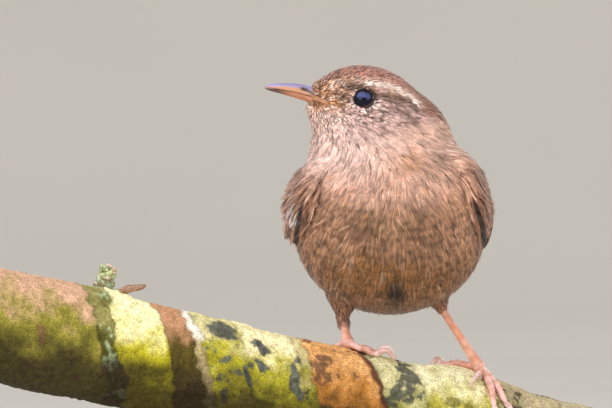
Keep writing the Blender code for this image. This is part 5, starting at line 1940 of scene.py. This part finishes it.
def build_wing_coat(rng, name, number, wing, material):
    """The skin of the wing's front and the soft feathers over the shoulder and the wing's edge."""
    field = cloak_field(wing)
    points, uv, quads, far = cloak_grid(wing, number, field)
    if wing["side"] > 0:
        quads = quads[:, ::-1]
    quads = quads[(far[quads] < 8.5).all(axis=1)]
    base = srgb(120, 82, 58) * (0.7 + 0.5 * noise(points, 2.4, 8)[:, None])
    # The 0.6 darkening is painted shade under the coat, along with the down's own dark.
    place(make_mesh("wing_skin_" + name, points, quads, base * 0.6, uv), material, "wing_brown")
    spots, spot_uv = scatter(rng, points, uv, triangles(quads), 40000, 0.55)
    back, _ = wing_place(wing, spots)
    keep = (back < 11.0 + 5.0 * noise(spots, 2.0, 13)) & (distance(spots, PADDED_FIELD) > -0.7)
    spots, spot_uv, back = spots[keep], spot_uv[keep], back[keep]

    x, _, z = spots.T
    drawn_out = spots * (1.0, 1.0, 0.4)
    streak = smooth(0.55, 0.7, noise(drawn_out, 1.0, 14)) * smooth(12.0, 3.0, back)
    own = layered(srgb(172, 124, 98), (srgb(226, 188, 164), streak * 0.7),
                  (srgb(104, 70, 48), 0.6 * smooth(0.42, 0.3, noise(drawn_out, 1.2, 18))))
    body, _ = markings(spots, outward(spots, field))
    colour = over(body, own, smooth(15.5, 20.0, np.abs(x) + 0.25 * (38.0 - z) + 0.3 * back))
    loose = 0.7
    if wing["side"] < 0:
        loose = 1.6
        plumes = smooth(34.0, 32.0, z) * smooth(19.0, 20.5, -x)
        plumes = plumes * smooth(6.5, 3.0, back + 3.0 * (noise(spots, 2.0, 19) - 0.5))
        colour = over(colour, srgb(234, 222, 222), 0.9 * plumes)
    count = len(spots)
    coat = Coat(rng, material, points, uv)
    coat.grow("coat_wing_" + name, spots, field, shoulder_lie(wing, field), {
        "length": rng.uniform(4.2, 6.4, count) + 1.2 * smooth(4.0, 9.0, back),
        "half_width": rng.uniform(0.45, 0.85, count) * (1 - 0.45 * streak),
        "depth": 0.85, "blade": 0.07,
        "crest": rng.uniform(0.0, 0.45, count) + loose * rng.uniform(0.0, 1.0, count) ** 3,
        "colour": uneven_shade(colour, spots, 2.2, 15),
        "bars": 0.15 + 0.45 * smooth(5.0, 11.0, back), "stray": 0.14, "streak": 0.28,
    }, "wing_brown", spot_uv, rows=6)


def build_tail():
    rng = np.random.default_rng(SEED + 60)
    pieces = []
    for side in SIDES.values():
        for k in range(TAIL_FEATHERS):
            t = k / (TAIL_FEATHERS - 1)
            length = TAIL_LENGTHS[0] * (1 - t * t) + TAIL_LENGTHS[1] * t * t
            start, end = (side * (first + step * k) for first, step in (TAIL_ROOTS, TAIL_TIPS))
            height = -TAIL_LAYER * k - (0.2 if side < 0 else 0.0)
            paint = barred(srgb(74, 48, 32), srgb(156, 100, 64), 2.6, 0.25 + 0.5 * t, k)
            pieces.append(vane(
                rng, on_tail, (-1.0, start), (length, end), TAIL_HALF_WIDTH, (height * 0.7, height), 0.0,
                lambda t, a, length: paint(t, -a * side, length), 84))
    tail = make_mesh("tail_feathers", *join(pieces))
    place(tail, feather_material("tail_feathers"), "tail_brown", "tail")
    build_tail_coat(rng)


def build_tail_coat(rng):
    """The stump of the tail under its coverts."""
    centre = on_tail(1.5, 0.0, -0.6)
    field = ([(centre, np.array((4.4, 5.3, 2.4)), rotation(math.degrees(TAIL_COCK), 0))], 1.0)
    rows, columns = 24, 41
    polar, turn, ball = ball_grid(rows, columns, 0.01, closed=False)
    points = settle(centre + ball * 4.0, -0.4, field, 6)
    uv = np.stack((0.01 + 0.98 * turn / (2 * math.pi), 0.01 + 0.98 * polar / math.pi), axis=1)
    coat = Coat(rng, plumage_material("tail_coverts"), points, uv)
    quads = grid_faces(rows, columns)
    # The rump colour times 0.6 is painted shade under the coverts, along with the down's own dark.
    skin = make_mesh("tail_skin", points, quads, np.tile(RUMP * 0.6, (len(points), 1)), uv)
    place(skin, coat.material, "tail_brown")
    spots, spot_uv = scatter(rng, points, uv, triangles(quads), 5000, 0.8)
    coat.grow("coat_tail", spots, field, lie_along(lambda _: TAIL_AXES[0]), {
        "length": rng.uniform(2.6, 4.2, len(spots)), "half_width": 0.9, "depth": 0.4,
        "crest": rng.uniform(0.0, 0.4, len(spots)), "blades": 11, "blade": 0.085,
        "colour": uneven_shade(RUMP, spots, 2.0, 16), "bars": 0.5, "stray": 0.1, "streak": 0.12,
    }, "tail_brown", spot_uv)


# Stand, floor, lights and camera.

def finish_stand():
    wood = Nodes("base_wood", roughness=0.36, coat=0.25, specular=0.4)
    grain = wood.noise(38.0, 8.0, wood.stretched((1.0, 9.0, 9.0)), 1.4)
    wood.colour(wood.ramp(grain, (0.28, srgb(58, 34, 20)), (0.52, srgb(92, 56, 32)),
                          (0.75, srgb(122, 78, 46))))
    wood.rough(grain, 0.3, 0.48)
    wood.bump(grain, 0.15, 0.0002)
    steel = Nodes("rod_steel", roughness=0.28, metallic=1.0)
    brushed = steel.noise(90.0, 3.0, steel.stretched((22.0, 22.0, 1.0)))
    steel.colour(steel.ramp(brushed, (0.2, srgb(150, 148, 144)), (0.8, srgb(206, 204, 200))))
    steel.rough(brushed, 0.22, 0.38)
    for node, look in (("stand_base", wood), ("stand_rod_left", steel), ("stand_rod_right", steel)):
        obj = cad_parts[node]
        obj.data.materials.clear()
        obj.data.materials.append(look.material)


def build_floor():
    """A plain pale floor that sweeps up far away on all sides."""
    look = Nodes("floor", roughness=0.9, specular=0.1)
    look.colour(look.ramp(look.noise(3.0, 2.0), (0.3, srgb(226, 223, 218)), (0.7, srgb(229, 226, 221))))
    turns = np.linspace(0, 2 * math.pi, 96, endpoint=False)
    sweep = np.linspace(0, math.pi / 2.4, 14)
    profile = [(1.0, 0.0), (2500.0, 0.0), (6200.0, 0.0)]
    profile += [(6200.0 + 1300.0 * math.sin(a), 1300.0 * (1 - math.cos(a))) for a in sweep[1:]]
    points = [np.stack((r * np.cos(turns), r * np.sin(turns), np.full(96, z)), axis=1) for r, z in profile]
    quads = grid_faces(len(profile), 96, closed=True)[:, ::-1]
    floor = make_mesh("floor", np.concatenate(points), quads, in_bird=False)
    floor.data.materials.append(look.material)


# Soft round lights: the name, place and size in metres, power in watts, and colour.
LIGHTS = (
    ("sky", (-0.55, -0.85, 1.05), 2.2, 24.0, (0.84, 0.88, 1.0)),
    ("key", (-0.9, -1.9, 0.16), 0.9, 11.0, (1.0, 0.90, 0.82)),
    ("fill", (1.1, -1.3, 0.06), 0.7, 6.0, (1.0, 0.93, 0.86)),
    ("rim", (0.45, 0.95, 0.8), 0.5, 4.0, (1.0, 0.98, 0.95)),
)
LIT_POINT = Vector((0.019, 0.0, 0.088))


def add_light(name, place_at, size, power, colour):
    light = bpy.data.lights.new(name, "AREA")
    light.shape = "DISK"
    light.size = size
    light.energy = power
    light.color = colour
    obj = bpy.data.objects.new(name, light)
    obj.location = place_at
    obj.rotation_euler = (Vector(place_at) - LIT_POINT).to_track_quat("Z", "Y").to_euler()
    bpy.context.scene.collection.objects.link(obj)


def light_scene():
    world = bpy.data.worlds.new("studio")
    world.use_nodes = True
    sky = world.node_tree.nodes["Background"]
    sky.inputs["Color"].default_value = (*srgb(226, 223, 218), 1.0)
    sky.inputs["Strength"].default_value = 0.95
    bpy.context.scene.world = world
    for lamp in LIGHTS:
        add_light(*lamp)
    bpy.context.scene.view_settings.view_transform = "Standard"


def add_camera():
    """Level with the bird, far off, framed as the photo is."""
    camera = bpy.data.cameras.new("camera")
    camera.sensor_width = 36.0
    camera.lens = camera.sensor_width * CAMERA_AWAY / (PHOTO_SIZE[0] * MM_PER_PIXEL)
    camera.clip_start, camera.clip_end = 0.1, 60.0
    obj = bpy.data.objects.new("camera", camera)
    obj.location = (VIEW_MIDDLE + np.array((0.0, -CAMERA_AWAY, 0.0))) * MM
    obj.rotation_euler = (math.radians(90.0), 0.0, 0.0)
    bpy.context.scene.collection.objects.link(obj)
    bpy.context.scene.camera = obj


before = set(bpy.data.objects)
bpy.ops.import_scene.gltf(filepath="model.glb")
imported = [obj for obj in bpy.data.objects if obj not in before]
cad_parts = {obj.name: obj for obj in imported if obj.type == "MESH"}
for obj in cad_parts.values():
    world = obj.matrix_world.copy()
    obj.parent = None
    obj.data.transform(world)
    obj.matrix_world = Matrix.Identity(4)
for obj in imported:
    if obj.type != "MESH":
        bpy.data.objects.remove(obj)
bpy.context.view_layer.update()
add_camera()
build_plumage()
build_eyes()
build_bill()
build_wings()
build_tail()
build_feet()
build_branch()
finish_stand()
build_floor()
light_scene()
